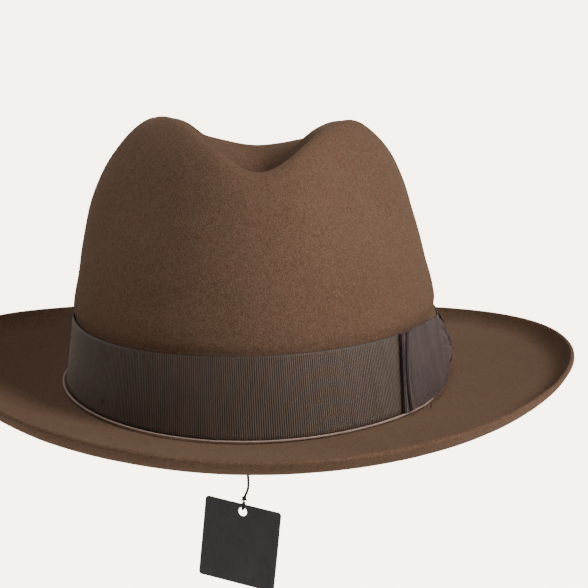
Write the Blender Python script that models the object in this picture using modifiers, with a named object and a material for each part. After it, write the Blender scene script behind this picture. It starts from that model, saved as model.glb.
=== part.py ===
"""A felt fedora hat: blocked felt body, grosgrain band with piping and a flat side bow, leather
sweatband, satin lining, and a blank swing tag that hangs from the sweatband's little rear bow.

Metres, +Z up. The front of the hat is towards -Y and the wearer's left is towards +X. The origin
is the centre of the head opening, in the plane where the crown meets the brim.
"""
import math

import bmesh
import bpy
import numpy as np
from mathutils import Euler, Matrix, Vector

MM = 0.001

# Head opening and crown. The oval is the felt's outer face where the crown meets the brim.
CROWN_A = 84.5 * MM            # half width, side to side
CROWN_B = 101.5 * MM           # half length, front to back
CROWN_H = 133.7 * MM           # height of the crown before it is creased
CROWN_TAPER = 0.210            # share of its width that the crown loses over its height
CROWN_SHOULDER = 4.740         # roundness of the shoulder: height term
CROWN_ROUND = 2.623            # roundness of the shoulder: width term
CROWN_LEAN = -0.017            # sideways lean of this hat's crown per unit of height
CROWN_RINGS = 21               # rings of facets from the crown's top to its foot
FELT_T = 2.2 * MM

# The dent along the crown's top. It starts DENT_FROM above the opening and is full DENT_FULL
# below the top; its front end curves back by DENT_FRONT_CURVE at DENT_CURVE_X to either side.
DENT_DEPTH, DENT_WIDTH, DENT_X = 45.7 * MM, 18.6 * MM, 3.8 * MM
DENT_FROM, DENT_FULL = 50.0 * MM, 10.0 * MM
DENT_FRONT, DENT_FRONT_SOFT = -60.7 * MM, 4.85 * MM
DENT_FRONT_CURVE, DENT_CURVE_X = 12.5 * MM, 20.0 * MM
DENT_BACK, DENT_BACK_SOFT = 51.1 * MM, 8.95 * MM
DENT_ROUND, DENT_POWER = 0.588, 1.387

# The crown's top falls towards the back, and its front is pinched on both sides.
BACK_DROP, DROP_FROM, DROP_LEVEL_Y = 0.101, 40.0 * MM, -40.0 * MM
PINCH_DEPTH, PINCH_R = 5.7 * MM, 26.0 * MM
PINCH_AT = (50.0 * MM, -62.0 * MM, 96.0 * MM)

# The shoulder is a little fuller on the wearer's left: by how much, from which x, and where.
SWELL, SWELL_X, SWELL_Z, SWELL_H = 2.5 * MM, 40.0 * MM, 111.7 * MM, 22.5 * MM

# Brim: its rim oval, how high the rim stands, and the upturned lip.
BRIM_A = 139.2 * MM
BRIM_B = 153.9 * MM
RIM_FRONT, RIM_BACK, RIM_SIDE, RIM_SKEW = 8.1 * MM, 2.6 * MM, 13.4 * MM, -4.9 * MM
RIM_POWER = 1.6                # how late across the brim its rise comes
LIP_R = 11.5 * MM
LIP_TURN = math.radians(62)
CORNER_R = 1.4 * MM            # inside corner between the crown and the brim

# The foot of the crown stands higher at the sides than at the front and back.
JOIN_RISE, JOIN_SKEW, JOIN_FADE, JOIN_POWER = 3.6 * MM, -1.0 * MM, 32.0 * MM, 1.5

# Trim on the outside, counted outwards from the felt.
GAP = 0.3 * MM
BAND_T = 0.5 * MM
BAND_LOW, BAND_HIGH = 1.7 * MM, 35.0 * MM
BAND_DIP, BAND_DIP_AT, BAND_DIP_WIDE = 4.6 * MM, 92.0, 20.0
PIPING_R, PIPING_UP, PIPING_OUT = 0.5 * MM, 1.05 * MM, 0.75 * MM
PIPING_STEPS = (15, 57)        # first and one past the last of its facets, counted round the hat

# The bow: two flat loops of ribbon, one on the other, gathered under a short wrap. The ends are
# degrees round from the front towards the wearer's left; offsets are to the ribbon's middle.
BOW_T = 0.3 * MM
KNOT_AT = 86.0
BOW_ARM = 93.0 * MM            # mean radius that turns degrees into lengths
BOW_THIN = 0.55 * MM           # between a loop's two runs, away from its folds
BOW_REACH = 4.5 * MM           # how far a fold holds the runs apart
BOW_STEPS = 16
BOW_UNDER_ENDS, UNDER_BASE, UNDER_FOLD = (46.2, 124.0), 1.25 * MM, 0.8 * MM
BOW_OVER_ENDS, OVER_STEP, OVER_FOLD = (48.2, 121.5), 0.5 * MM, 0.62 * MM
# Each loop's edges in mm and in shares of the way from the knot to the front fold: low edge at the
# knot, its fall, where the fall starts, over how much; top edge at the knot and at the fold, how
# much lower the rear half is, how soon the top edge opens, and how sharply.
UNDER_EDGES = (8.0, 6.1, 0.06, 0.30, 21.0, 35.2, 10.0, 0.27, 2.0)
OVER_EDGES = (12.0, 9.6, 0.26, 0.38, 18.5, 35.6, 10.5, 0.28, 2.0)
OVER_PUFF, OVER_GATHER = 0.9 * MM, 0.7 * MM
WRAP_T, WRAP_WIDTH, WRAP_SWELL = 0.5 * MM, 9.5 * MM, 0.3 * MM
WRAP_Z, WRAP_HALF, WRAP_OUT, WRAP_TUCK = 15.6 * MM, 8.6 * MM, 4.5 * MM, 2.6 * MM

# Loose threads: radius, and how far each lies off what is under it; length, and tilt in degrees.
# The tack is placed in degrees round and up the ribbon, the bow's thread in degrees round, out
# from the crown and up from the brim.
THREAD_R, THREAD_LIFT = 0.22 * MM, 0.3 * MM
SHORT_THREAD, SHORT_THREAD_TILT = 2.6 * MM, 8.0
TACK_AT, TACK_UP = -51.0, 8.2 * MM
LOOSE_AT, LOOSE_OUT, LOOSE_UP = 52.6, 6.4 * MM, 1.95 * MM

# Inside: sweatband and lining, counted inwards from the felt's inner face.
SWEAT_T = 0.9 * MM
SWEAT_LOW, SWEAT_HIGH = 0.3 * MM, 46.0 * MM
SWEAT_LEAN = 2.8 * MM
REED_R, REED_GAP = 0.8 * MM, 0.1 * MM
STITCH_Z, STITCH_R, STITCH_OFF = 3.2 * MM, 0.2 * MM, 0.5 * MM
TAPE_T, LABEL_T = 0.4 * MM, 0.2 * MM
LINING_T = 0.4 * MM
LINING_GAP = 1.0 * MM
LINING_LOW = 32.0 * MM
LINING_SEAM_Z, LINING_SEAM_GAP = 103.0 * MM, 2.6 * MM
LINING_PIPING_R = 0.4 * MM

# The little bow at the back of the sweatband.
REAR_BOW_Y, REAR_BOW_Z = 93.3 * MM, 2.6 * MM
REAR_RIBBON_H, REAR_RIBBON_T = 6.0 * MM, 0.35 * MM
REAR_LOOP_X, REAR_LOOP_HALF, REAR_LOOP_FAT = 9.6 * MM, 7.0 * MM, 1.9 * MM
REAR_BOW_CURVE, REAR_BOW_TIP = 2.2 * MM, 16.0 * MM
REAR_KNOT = (2.0 * MM, 1.9 * MM, 2.7 * MM)

# The swing tag and its cord.
CORD_R, TAG_LOOP_R = 0.55 * MM, 0.5 * MM
CORD_X = -11.0 * MM
KNOT_R, KNOT_CLEAR, CORD_START = 1.1 * MM, 0.35 * MM, 0.3 * MM
TAG_KNOT = (1.25 * MM, 1.25 * MM, 1.2 * MM)
LOOP_HALF, LOOP_CLEAR = 1.25 * MM, 0.6 * MM
HOLE_AT = Vector((-9.7, 90.4, -88.6)) * MM
TAG_W, TAG_H, TAG_T, TAG_CORNER = 41.0 * MM, 41.5 * MM, 0.7 * MM, 1.6 * MM
HOLE_R, HOLE_DROP = 2.3 * MM, 3.9 * MM
TAG_YAW, TAG_LEAN = math.radians(-25.0), math.radians(7.7)

STEPS = 48                     # facets round the hat, shared by every ring so layers nest


# ---------------------------------------------------------------- scene helpers

def start():
    for ob in list(bpy.data.objects):
        bpy.data.objects.remove(ob, do_unlink=True)
    for col in list(bpy.data.collections):
        bpy.data.collections.remove(col)
    hat = bpy.data.collections.new("fedora_hat")
    bpy.context.scene.collection.children.link(hat)
    return hat


HAT = start()


def material(name, color, roughness, metallic=0.0):
    mat = bpy.data.materials.new(name)
    mat.use_nodes = True
    shader = mat.node_tree.nodes["Principled BSDF"]
    shader.inputs["Base Color"].default_value = (*color, 1.0)
    shader.inputs["Roughness"].default_value = roughness
    shader.inputs["Metallic"].default_value = metallic
    mat.diffuse_color = (*color, 1.0)
    return mat


FELT = material("felt_brown", (0.115, 0.075, 0.048), 0.95)
GROSGRAIN = material("grosgrain_dark", (0.050, 0.040, 0.034), 0.7)
PIPING = material("piping_taupe", (0.30, 0.21, 0.18), 0.6)
LEATHER = material("sweatband_leather", (0.22, 0.12, 0.07), 0.5)
SATIN = material("lining_satin", (0.33, 0.26, 0.19), 0.35)
THREAD = material("thread_dark", (0.03, 0.025, 0.022), 0.8)
CORD = material("cord_charcoal", (0.03, 0.028, 0.028), 0.85)
CARD = material("tag_card", (0.045, 0.043, 0.041), 0.75)
PAPER = material("label_paper", (0.62, 0.58, 0.50), 0.8)


def add(name, mesh, mat):
    ob = bpy.data.objects.new(name, mesh)
    ob.data.materials.clear()
    ob.data.materials.append(mat)
    HAT.objects.link(ob)
    return ob


def to_mesh(ob):
    """Turn an object into a plain welded mesh with its modifiers applied, and remove it."""
    bpy.context.view_layer.update()
    graph = bpy.context.evaluated_depsgraph_get()
    mesh = bpy.data.meshes.new_from_object(ob.evaluated_get(graph))
    mesh.transform(ob.matrix_world)
    bpy.data.objects.remove(ob, do_unlink=True)
    bm = bmesh.new()
    bm.from_mesh(mesh)
    bmesh.ops.remove_doubles(bm, verts=bm.verts, dist=1e-6)
    bm.to_mesh(mesh)
    bm.free()
    return mesh


def face_out(mesh):
    bm = bmesh.new()
    bm.from_mesh(mesh)
    bmesh.ops.recalc_face_normals(bm, faces=bm.faces)
    bm.to_mesh(mesh)
    bm.free()
    mesh.shade_smooth()
    mesh.set_sharp_from_angle(angle=math.radians(40))
    return mesh


def solidify(ob, thickness, offset=-1.0):
    mod = ob.modifiers.new("thickness", "SOLIDIFY")
    mod.thickness = thickness
    mod.offset = offset
    mod.use_even_offset = True
    return mod


# ---------------------------------------------------------------- the hat's form

def smooth(u):
    u = min(1.0, max(0.0, u))
    return u * u * (3.0 - 2.0 * u)


def logistic(u):
    return 1.0 / (1.0 + math.exp(-u))


def crown_share(z):
    """Share of the base oval's width left at height z of the uncreased crown."""
    h = min(1.0, max(0.0, z / CROWN_H))
    return (1.0 - h ** CROWN_SHOULDER) ** (1.0 / CROWN_ROUND) * (1.0 - CROWN_TAPER * h)


def crease(x, y, z):
    """Move a point of the plain crown to where the creased crown has it."""
    top = smooth((z - DROP_FROM) / (CROWN_H - DROP_FROM))
    cut = smooth((z - DENT_FROM) / (CROWN_H - DENT_FULL - DENT_FROM))
    aside = x - DENT_X
    front = DENT_FRONT + DENT_FRONT_CURVE * (aside / DENT_CURVE_X) ** 2
    along = logistic((y - front) / DENT_FRONT_SOFT) * logistic((DENT_BACK - y) / DENT_BACK_SOFT)
    across = math.exp(DENT_ROUND ** DENT_POWER
                      - ((aside / DENT_WIDTH) ** 2 + DENT_ROUND ** 2) ** (DENT_POWER / 2))
    new_z = z - top * BACK_DROP * (y - DROP_LEVEL_Y) - along * cut * DENT_DEPTH * across
    full = SWELL * smooth(x / SWELL_X) * math.exp(-((z - SWELL_Z) / SWELL_H) ** 2)
    x += CROWN_LEAN * z + full
    for side in (-1, 1):
        px, py, pz = PINCH_AT
        near = math.exp(-((x - side * px) ** 2 + (y - py) ** 2 + (z - pz) ** 2) / PINCH_R ** 2)
        x -= side * 0.7 * PINCH_DEPTH * near
        y += 0.7 * PINCH_DEPTH * near
    return Vector((x, y, new_z))


def rim_lift(angle):
    front = (1 + math.cos(angle)) / 2
    rise = RIM_FRONT * front + RIM_BACK * (1 - front)
    rise += RIM_SIDE * math.sin(angle) ** 2 + RIM_SKEW * math.sin(angle)
    return rise - LIP_R * (1 - math.cos(LIP_TURN))


def join_rise(angle):
    side = math.sin(angle)
    return (JOIN_RISE + JOIN_SKEW * side) * side ** 2


def crown_point(angle, radius, z):
    """A point of the crown from its angle (0 at the front), turned radius and height."""
    raised = z + join_rise(angle) * (1 - smooth(z / JOIN_FADE))
    long_radius = radius * CROWN_B / CROWN_A
    return crease(radius * math.sin(angle), -long_radius * math.cos(angle), raised)


def brim_point(angle, radius, z):
    """A point of the brim from its angle, turned radius and height over the flat brim."""
    out = max(0.0, (radius - CROWN_A) / (BRIM_A - CROWN_A))
    long_radius = CROWN_B + (BRIM_B - CROWN_B) * out
    lift = rim_lift(angle) * out ** RIM_POWER
    lift += join_rise(angle) * (1 - min(1.0, out)) ** JOIN_POWER
    return Vector((radius * math.sin(angle), -long_radius * math.cos(angle), z + lift))


def polar(co):
    return math.atan2(co.x, -co.y), math.hypot(co.x, co.y)


def on_crown(co):
    """Carry a point of the round, turned crown to the oval, creased one."""
    angle, radius = polar(co)
    return crown_point(angle, radius, co.z)


def on_hat(co):
    """Carry a point of the turned felt, crown or brim, to the finished hat."""
    angle, radius = polar(co)
    if radius > CROWN_A:
        return brim_point(angle, radius, co.z)
    return crown_point(angle, radius, co.z)


def dipped(co):
    """Carry a point of the turned hatband to the hat; its top edge dips behind the bow."""
    angle, radius = polar(co)
    share = (co.z - BAND_LOW) / (BAND_HIGH - BAND_LOW)
    near = (math.degrees(angle) - BAND_DIP_AT) / BAND_DIP_WIDE
    z = co.z - BAND_DIP * share * math.exp(-near ** 2)
    return crown_point(angle, radius - wall(co.z) + wall(z), z)


def warp(mesh, form):
    for vert in mesh.vertices:
        vert.co = form(vert.co)
    return mesh


def wall(z, out=0.0):
    """Turned radius of the crown's outer face at height z, plus an offset outwards."""
    return CROWN_A * crown_share(z) + out


def on_wall(degrees, z, out=0.0):
    """The point on the finished wall at an angle round the hat, a height and an offset."""
    return crown_point(math.radians(degrees), wall(z, out), z)


# ---------------------------------------------------------------- makers

def turned(name, profile, mat, closed=True, start_deg=0.0, sweep_deg=360.0, steps=STEPS,
           form=on_crown):
    """Turn a profile of (radius, z) points about Z, cap an open sweep's ends, and shape it."""
    mesh = bpy.data.meshes.new(name)
    verts = [(r, 0.0, z) for r, z in profile]
    edges = [(i, i + 1) for i in range(len(verts) - 1)]
    if closed:
        edges.append((len(verts) - 1, 0))
    mesh.from_pydata(verts, edges, [])
    ob = bpy.data.objects.new(name + "_turn", mesh)
    HAT.objects.link(ob)
    ob.rotation_euler.z = math.radians(start_deg - 90.0)
    screw = ob.modifiers.new("turn", "SCREW")
    screw.angle = math.radians(sweep_deg)
    screw.steps = screw.render_steps = steps
    screw.use_merge_vertices = sweep_deg == 360.0
    screw.merge_threshold = 1e-6
    done = to_mesh(ob)
    bm = bmesh.new()
    bm.from_mesh(done)
    if sweep_deg != 360.0:
        bmesh.ops.holes_fill(bm, edges=[e for e in bm.edges if e.is_boundary])
    bm.to_mesh(done)
    bm.free()
    return add(name, warp(done, form) if closed else done, mat)


def ring_section(radius_at, inset, z_low, z_high, thick, rows):
    """Closed profile of a thin upright strip whose inner face is radius_at(z) - inset."""
    zs = [z_low + (z_high - z_low) * i / rows for i in range(rows + 1)]
    outer = [(radius_at(z) - inset + thick, z) for z in reversed(zs)]
    return outer + [(radius_at(z) - inset, z) for z in zs]


def tube(name, points, radius, mat, cyclic=False, resolution=1):
    curve = bpy.data.curves.new(name, "CURVE")
    curve.dimensions = "3D"
    curve.bevel_depth = radius
    curve.bevel_resolution = resolution
    curve.use_fill_caps = not cyclic
    spline = curve.splines.new("POLY")
    spline.points.add(len(points) - 1)
    for spot, point in zip(spline.points, points):
        spot.co = (*point, 1.0)
    spline.use_cyclic_u = cyclic
    ob = bpy.data.objects.new(name + "_curve", curve)
    HAT.objects.link(ob)
    return add(name, face_out(to_mesh(ob)), mat)


def smooth_path(points, count):
    """Evenly spaced points on the Catmull-Rom curve through the points."""
    pts = [Vector(p) for p in points]
    pts = [2 * pts[0] - pts[1]] + pts + [2 * pts[-1] - pts[-2]]
    fine = []
    for i in range(1, len(pts) - 2):
        a, b, c, d = pts[i - 1:i + 3]
        for k in range(24):
            t = k / 24
            fine.append(0.5 * ((2 * b) + (c - a) * t + (2 * a - 5 * b + 4 * c - d) * t * t
                               + (3 * b - a - 3 * c + d) * t ** 3))
    fine.append(pts[-2])
    reach = np.concatenate([[0], np.cumsum([(q - p).length for p, q in zip(fine, fine[1:])])])
    at = np.linspace(0, reach[-1], count)
    cols = [np.interp(at, reach, [p[i] for p in fine]) for i in range(3)]
    return [Vector(p) for p in zip(*cols)]


def ribbon(name, edges, mat, thick):
    """A closed loop of ribbon standing on edge, given its lower and upper edge points."""
    curve = bpy.data.curves.new(name, "CURVE")
    curve.dimensions = "3D"
    curve.extrude = 0.5
    spline = curve.splines.new("POLY")
    spline.points.add(len(edges) - 1)
    for spot, (low, _) in zip(spline.points, edges):
        spot.co = (low.x, low.y, 0.0, 1.0)
    spline.use_cyclic_u = True
    ob = bpy.data.objects.new(name + "_curve", curve)
    HAT.objects.link(ob)
    mesh = to_mesh(ob)
    for vert in mesh.vertices:
        low, high = min(edges, key=lambda e: (e[0].xy - vert.co.xy).length)
        vert.co = high if vert.co.z > 0 else low
    face_out(mesh)
    ob = add(name, mesh, mat)
    solidify(ob, thick, offset=0.0)


# ---------------------------------------------------------------- felt

def crown_profile():
    """Crown from its top down to the corner with the brim."""
    points = []
    last = CROWN_RINGS - 1
    for i in range(CROWN_RINGS):
        rise = math.sin(math.pi / 2 * (1 - i / last)) ** (2 / CROWN_SHOULDER)
        z = CORNER_R + (CROWN_H - CORNER_R) * rise
        points.append((0.0 if i == 0 else wall(z), z))
    return points


def brim_profile():
    """From the corner out along the brim and up its lip."""
    corner = [(CROWN_A + CORNER_R * (1 - math.sin(a)), CORNER_R * (1 - math.cos(a)))
              for a in (math.radians(45), 0.0)]
    flat_end = BRIM_A - LIP_R * math.sin(LIP_TURN)
    first = CROWN_A + CORNER_R
    flat = [(first + (flat_end - first) * i / 5, 0.0) for i in range(1, 6)]
    lip = [(flat_end + LIP_R * math.sin(LIP_TURN * i / 5), LIP_R * (1 - math.cos(LIP_TURN * i / 5)))
           for i in range(1, 6)]
    return corner + flat + lip


def felt_body():
    """One shell of felt: crown, brim and lip. The turned skin is the outer, upper face."""
    ob = turned("felt_body", crown_profile() + brim_profile(), FELT, closed=False)
    mesh = ob.data
    bm = bmesh.new()
    bm.from_mesh(mesh)
    top = max(bm.faces, key=lambda f: f.calc_center_median().z)
    if top.normal.z < 0:
        bmesh.ops.reverse_faces(bm, faces=bm.faces)
    bm.to_mesh(mesh)
    bm.free()
    warp(mesh, on_hat)
    mesh.shade_smooth()
    solidify(ob, FELT_T)


# ---------------------------------------------------------------- outer trim

def hatband():
    profile = ring_section(wall, -GAP, BAND_LOW, BAND_HIGH, BAND_T, 2)
    turned("hatband", profile, GROSGRAIN, start_deg=KNOT_AT - 0.6, sweep_deg=359.2, form=dipped)


def band_piping():
    """Piping round the foot of the band; its two ends lie hidden under the bow."""
    radius = CROWN_A + CORNER_R + PIPING_OUT
    turns = [2 * math.pi * i / STEPS for i in range(*PIPING_STEPS)]
    tube("band_piping", [brim_point(a, radius, PIPING_UP) for a in turns], PIPING_R, PIPING)


def from_knot(degrees):
    """Share of the way from the knot to a fold, and how far behind the knot (0 to 1)."""
    half = abs(degrees - KNOT_AT) / (KNOT_AT - BOW_UNDER_ENDS[0])
    return half, smooth((degrees - KNOT_AT) / 8.0 + 0.5)


def loop_edges(degrees, form):
    """Lower and upper edges of a bow loop, which is full at its folds and narrow at the knot."""
    low_at_knot, low_fall, fall_from, fall_over, gathered, full, rear_fall, soft, power = form
    half, behind = from_knot(degrees)
    low = low_at_knot - low_fall * smooth((half - fall_from) / fall_over)
    opened = 1 - math.exp(-(half / soft) ** power)
    return low * MM, (gathered + (full - rear_fall * behind - gathered) * opened) * MM


def fold_open(degrees, ends, fold):
    """How much further apart a loop's runs are near its folded ends."""
    nearest = min(abs(degrees - ends[0]), abs(degrees - ends[1]))
    return (2 * fold - BOW_THIN) * math.exp(-(math.radians(nearest) * BOW_ARM / BOW_REACH) ** 1.5)


def under_run(degrees):
    return UNDER_BASE


def over_run(degrees):
    """Offset of the upper loop's first run, which lies on the lower loop."""
    return UNDER_BASE + BOW_THIN + fold_open(degrees, BOW_UNDER_ENDS, UNDER_FOLD) + OVER_STEP


def bow_loop(name, ends, fold, run, form, puff, gather):
    """A flat loop of ribbon: a run below, a fold at each end, and a run above that puffs."""
    first, last = ends
    shares = [i / BOW_STEPS for i in range(BOW_STEPS + 1)]
    shares = sorted(shares + [0.015, 0.03, 0.97, 0.985])
    route = [(first + (last - first) * share, run(first + (last - first) * share))
             for share in shares]
    above = []
    for degrees, out in route:
        half, behind = from_knot(degrees)
        lift = puff * (1 - 0.75 * behind) * math.sin(math.pi * min(1.0, half) ** 0.75) ** 2
        lift += gather * math.exp(-(half / 0.2) ** 2)
        above.append((degrees, out + BOW_THIN + fold_open(degrees, ends, fold) + lift))
    turn = [math.radians(45 * i) for i in (1, 2, 3)]
    for side, (degrees, out) in ((1, route[-1]), (-1, route[0])):
        bend = [(degrees + side * math.degrees(fold * math.sin(a) / BOW_ARM),
                 out + fold - fold * math.cos(a)) for a in turn]
        if side > 0:
            path = route + bend + above[::-1]
        else:
            path += bend[::-1]
    edges = []
    for degrees, out in path:
        low, high = loop_edges(degrees, form)
        edges.append((on_wall(degrees, low, out), on_wall(degrees, high, out)))
    ribbon(name, edges, GROSGRAIN, BOW_T)


def bow_knot():
    """The wrap round the middle of the bow, its ends tucked in above and below."""
    rows = 9
    mesh = bpy.data.meshes.new("bow_knot")
    bm = bmesh.new()
    bmesh.ops.create_grid(bm, x_segments=4, y_segments=rows - 1, size=0.5)
    for vert in bm.verts:
        turn = math.pi * (vert.co.y + 0.5)
        z = WRAP_Z - WRAP_HALF * math.cos(turn)
        out = WRAP_OUT - WRAP_TUCK * (1 - math.sin(turn)) ** 1.8
        out += WRAP_SWELL * math.cos(math.pi * vert.co.x)
        degrees = KNOT_AT + math.degrees(vert.co.x * WRAP_WIDTH / CROWN_A)
        vert.co = on_wall(degrees, z, out)
    bm.to_mesh(mesh)
    bm.free()
    face_out(mesh)
    ob = add("bow_knot", mesh, GROSGRAIN)
    solidify(ob, WRAP_T, offset=0.0)


def thread_tube(name, place, length, tilt_deg):
    """A short, slightly arched thread; place(step_deg, step_up, arch) gives its points."""
    tilt = math.radians(tilt_deg)
    path = []
    for i in range(6):
        s = (i / 5 - 0.5) * length
        arch = THREAD_R * math.cos(math.pi * (i / 5 - 0.5))
        path.append(place(math.degrees(s * math.sin(tilt) / CROWN_B), s * math.cos(tilt), arch))
    tube(name, path, THREAD_R, THREAD)


def outer_trim():
    hatband()
    band_piping()
    bow_loop("bow_under_loop", BOW_UNDER_ENDS, UNDER_FOLD, under_run, UNDER_EDGES, 0.0, 0.0)
    bow_loop("bow_over_loop", BOW_OVER_ENDS, OVER_FOLD, over_run, OVER_EDGES,
             OVER_PUFF, OVER_GATHER)
    bow_knot()

    def on_band(turn, up, arch):
        return on_wall(TACK_AT + turn, TACK_UP + up, GAP + BAND_T + THREAD_LIFT + THREAD_R + arch)

    def by_the_bow(turn, up, arch):
        return brim_point(math.radians(LOOSE_AT + turn), CROWN_A + LOOSE_OUT + arch, LOOSE_UP + up)

    thread_tube("band_tack_stitch", on_band, SHORT_THREAD, SHORT_THREAD_TILT)
    thread_tube("bow_thread_end", by_the_bow, SHORT_THREAD, SHORT_THREAD_TILT)


# ---------------------------------------------------------------- inside

def sweat_face(z):
    """Turned radius of the sweatband's felt side."""
    return wall(z, -FELT_T - GAP - SWEAT_LEAN * (z / SWEAT_HIGH) ** 1.5)


def sweatband():
    face = SWEAT_T + GAP
    turned("sweatband", ring_section(sweat_face, SWEAT_T, SWEAT_LOW, SWEAT_HIGH, SWEAT_T, 4),
           LEATHER, start_deg=180.25, sweep_deg=359.5)

    radius = CROWN_A - FELT_T - GAP - REED_R - REED_GAP
    turns = [2 * math.pi * i / STEPS for i in range(STEPS)]
    below = Vector((0, 0, REED_R + REED_GAP))
    points = [crown_point(a, radius, 0.0) - below for a in turns]
    tube("sweatband_reed", points, REED_R, LEATHER, cyclic=True)

    radius = sweat_face(STITCH_Z) - SWEAT_T - STITCH_OFF
    points = [crown_point(a, radius, STITCH_Z) for a in turns]
    tube("sweatband_thread", points, STITCH_R, THREAD, cyclic=True, resolution=0)

    profile = ring_section(sweat_face, face + TAPE_T, 5.2 * MM, SWEAT_HIGH - 1.5 * MM, TAPE_T, 4)
    turned("sweatband_seam_tape", profile, LEATHER, start_deg=176.5, sweep_deg=7.0, steps=2)

    profile = ring_section(sweat_face, face + LABEL_T, 20.0 * MM, 31.0 * MM, LABEL_T, 1)
    turned("size_label", profile, PAPER, start_deg=150.0, sweep_deg=15.0, steps=2)


def lining_surface(name, profile, inset):
    """An open, warped copy of part of the crown, moved inwards by its normals."""
    ob = turned(name, profile, SATIN, closed=False)
    mesh = ob.data
    bm = bmesh.new()
    bm.from_mesh(mesh)
    bmesh.ops.recalc_face_normals(bm, faces=bm.faces)
    low = max(bm.faces, key=lambda f: f.calc_center_median().xy.length)
    if low.normal.xy.dot(low.calc_center_median().xy) < 0:
        bmesh.ops.reverse_faces(bm, faces=bm.faces)
    for vert in bm.verts:
        vert.co = on_crown(vert.co)
    bm.normal_update()
    moved = [(v, v.co - v.normal * inset) for v in bm.verts]
    for vert, co in moved:
        vert.co = co
    bm.to_mesh(mesh)
    bm.free()
    mesh.shade_smooth()
    solidify(ob, LINING_T)


def lining():
    """Side panel, oval tip and the piping sewn between them, all loose inside the felt."""
    inset = FELT_T + LINING_GAP
    seam = LINING_SEAM_Z
    rings = crown_profile()
    side = [p for p in rings if LINING_LOW < p[1] < seam - 2 * LINING_SEAM_GAP]
    top, low = seam - LINING_SEAM_GAP, LINING_LOW
    lining_surface("lining_side", [(wall(top), top)] + side + [(wall(low), low)], inset)
    tip = [p for p in rings if p[1] > seam + 2 * LINING_SEAM_GAP]
    edge = seam + LINING_SEAM_GAP
    lining_surface("lining_tip", tip + [(wall(edge), edge)], inset)

    points = []
    for i in range(STEPS):
        a = 2 * math.pi * i / STEPS
        here = crown_point(a, wall(seam), seam)
        above = crown_point(a, wall(seam + 0.4 * MM), seam + 0.4 * MM)
        beside = crown_point(a + 0.01, wall(seam), seam)
        normal = (beside - here).cross(above - here).normalized()
        points.append(here - normal * (inset + LINING_T / 2))
    tube("lining_tip_piping", points, LINING_PIPING_R, SATIN, cyclic=True)


# ---------------------------------------------------------------- rear bow, cord and tag

def rear_y(x):
    """The little bow curves forwards towards its tips, as the sweatband does."""
    return REAR_BOW_Y - REAR_BOW_CURVE * (x / REAR_BOW_TIP) ** 2


def rear_bow():
    """The sweatband's little bow: two flat loops of ribbon and a knot between them."""
    low = REAR_BOW_Z - REAR_RIBBON_H / 2
    high = REAR_BOW_Z + REAR_RIBBON_H / 2
    for name, side in (("rear_bow_left_loop", 1), ("rear_bow_right_loop", -1)):
        path = []
        for i in range(20):
            a = 2 * math.pi * i / 20
            x = side * (REAR_LOOP_X - REAR_LOOP_HALF * math.cos(a))
            fatness = 0.55 + 0.45 * smooth((abs(x) - 3 * MM) / (8 * MM))
            y = rear_y(x) + REAR_LOOP_FAT * math.sin(a) * fatness
            path.append((Vector((x, y, low)), Vector((x, y, high))))
        ribbon(name, path, GROSGRAIN, REAR_RIBBON_T)
    ball("rear_bow_knot", Vector((0, REAR_BOW_Y - 0.1 * MM, REAR_BOW_Z)), REAR_KNOT, GROSGRAIN)


def empty(name, place):
    ob = bpy.data.objects.new(name, None)
    ob.location = place
    ob.empty_display_size = 0.01
    HAT.objects.link(ob)
    return ob


def hang_from(ob, parent):
    """Parent an object without moving it."""
    ob.parent = parent
    ob.matrix_parent_inverse = Matrix.Translation(-parent.location)


def ball(name, place, radii, mat):
    bm = bmesh.new()
    bmesh.ops.create_uvsphere(bm, u_segments=12, v_segments=8, radius=1.0)
    mesh = bpy.data.meshes.new(name)
    for vert in bm.verts:
        vert.co = Vector((vert.co.x * radii[0], vert.co.y * radii[1], vert.co.z * radii[2]))
    bm.to_mesh(mesh)
    bm.free()
    mesh.shade_smooth()
    ob = add(name, mesh, mat)
    ob.location = place
    return ob


def tag_frame():
    """Rotation that stands the card up, leans it and yaws it; local +Y is the card's up."""
    upright = Euler((math.radians(90), 0, 0)).to_matrix()
    lean = Matrix.Rotation(TAG_LEAN, 3, "Y")
    yaw = Matrix.Rotation(TAG_YAW, 3, "Z")
    return yaw @ lean @ upright


def hang_tag():
    curve = bpy.data.curves.new("hang_tag", "CURVE")
    curve.dimensions = "2D"
    curve.fill_mode = "BOTH"
    curve.extrude = TAG_T / 2
    top = HOLE_DROP
    outline = []
    for cx, cy, first in ((1, 1, 0), (-1, 1, 90), (-1, -1, 180), (1, -1, 270)):
        for k in range(4):
            a = math.radians(first + 30 * k)
            x = cx * (TAG_W / 2 - TAG_CORNER) + TAG_CORNER * math.cos(a)
            y = top - TAG_H / 2 + cy * (TAG_H / 2 - TAG_CORNER) + TAG_CORNER * math.sin(a)
            outline.append((x, y))
    hole = [(HOLE_R * math.cos(a), HOLE_R * math.sin(a))
            for a in (2 * math.pi * i / 20 for i in range(20))]
    for points in (outline, hole):
        spline = curve.splines.new("POLY")
        spline.points.add(len(points) - 1)
        for spot, (x, y) in zip(spline.points, points):
            spot.co = (x, y, 0, 1)
        spline.use_cyclic_u = True
    ob = bpy.data.objects.new("tag_curve", curve)
    HAT.objects.link(ob)
    ob.matrix_world = Matrix.Translation(HOLE_AT) @ tag_frame().to_4x4()
    return add("hang_tag", face_out(to_mesh(ob)), CARD)


def loop_points(centre, up, across, half_up, half_across, count=14):
    return [centre + up * half_up * math.cos(a) + across * half_across * math.sin(a)
            for a in (2 * math.pi * i / count for i in range(count))]


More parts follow.
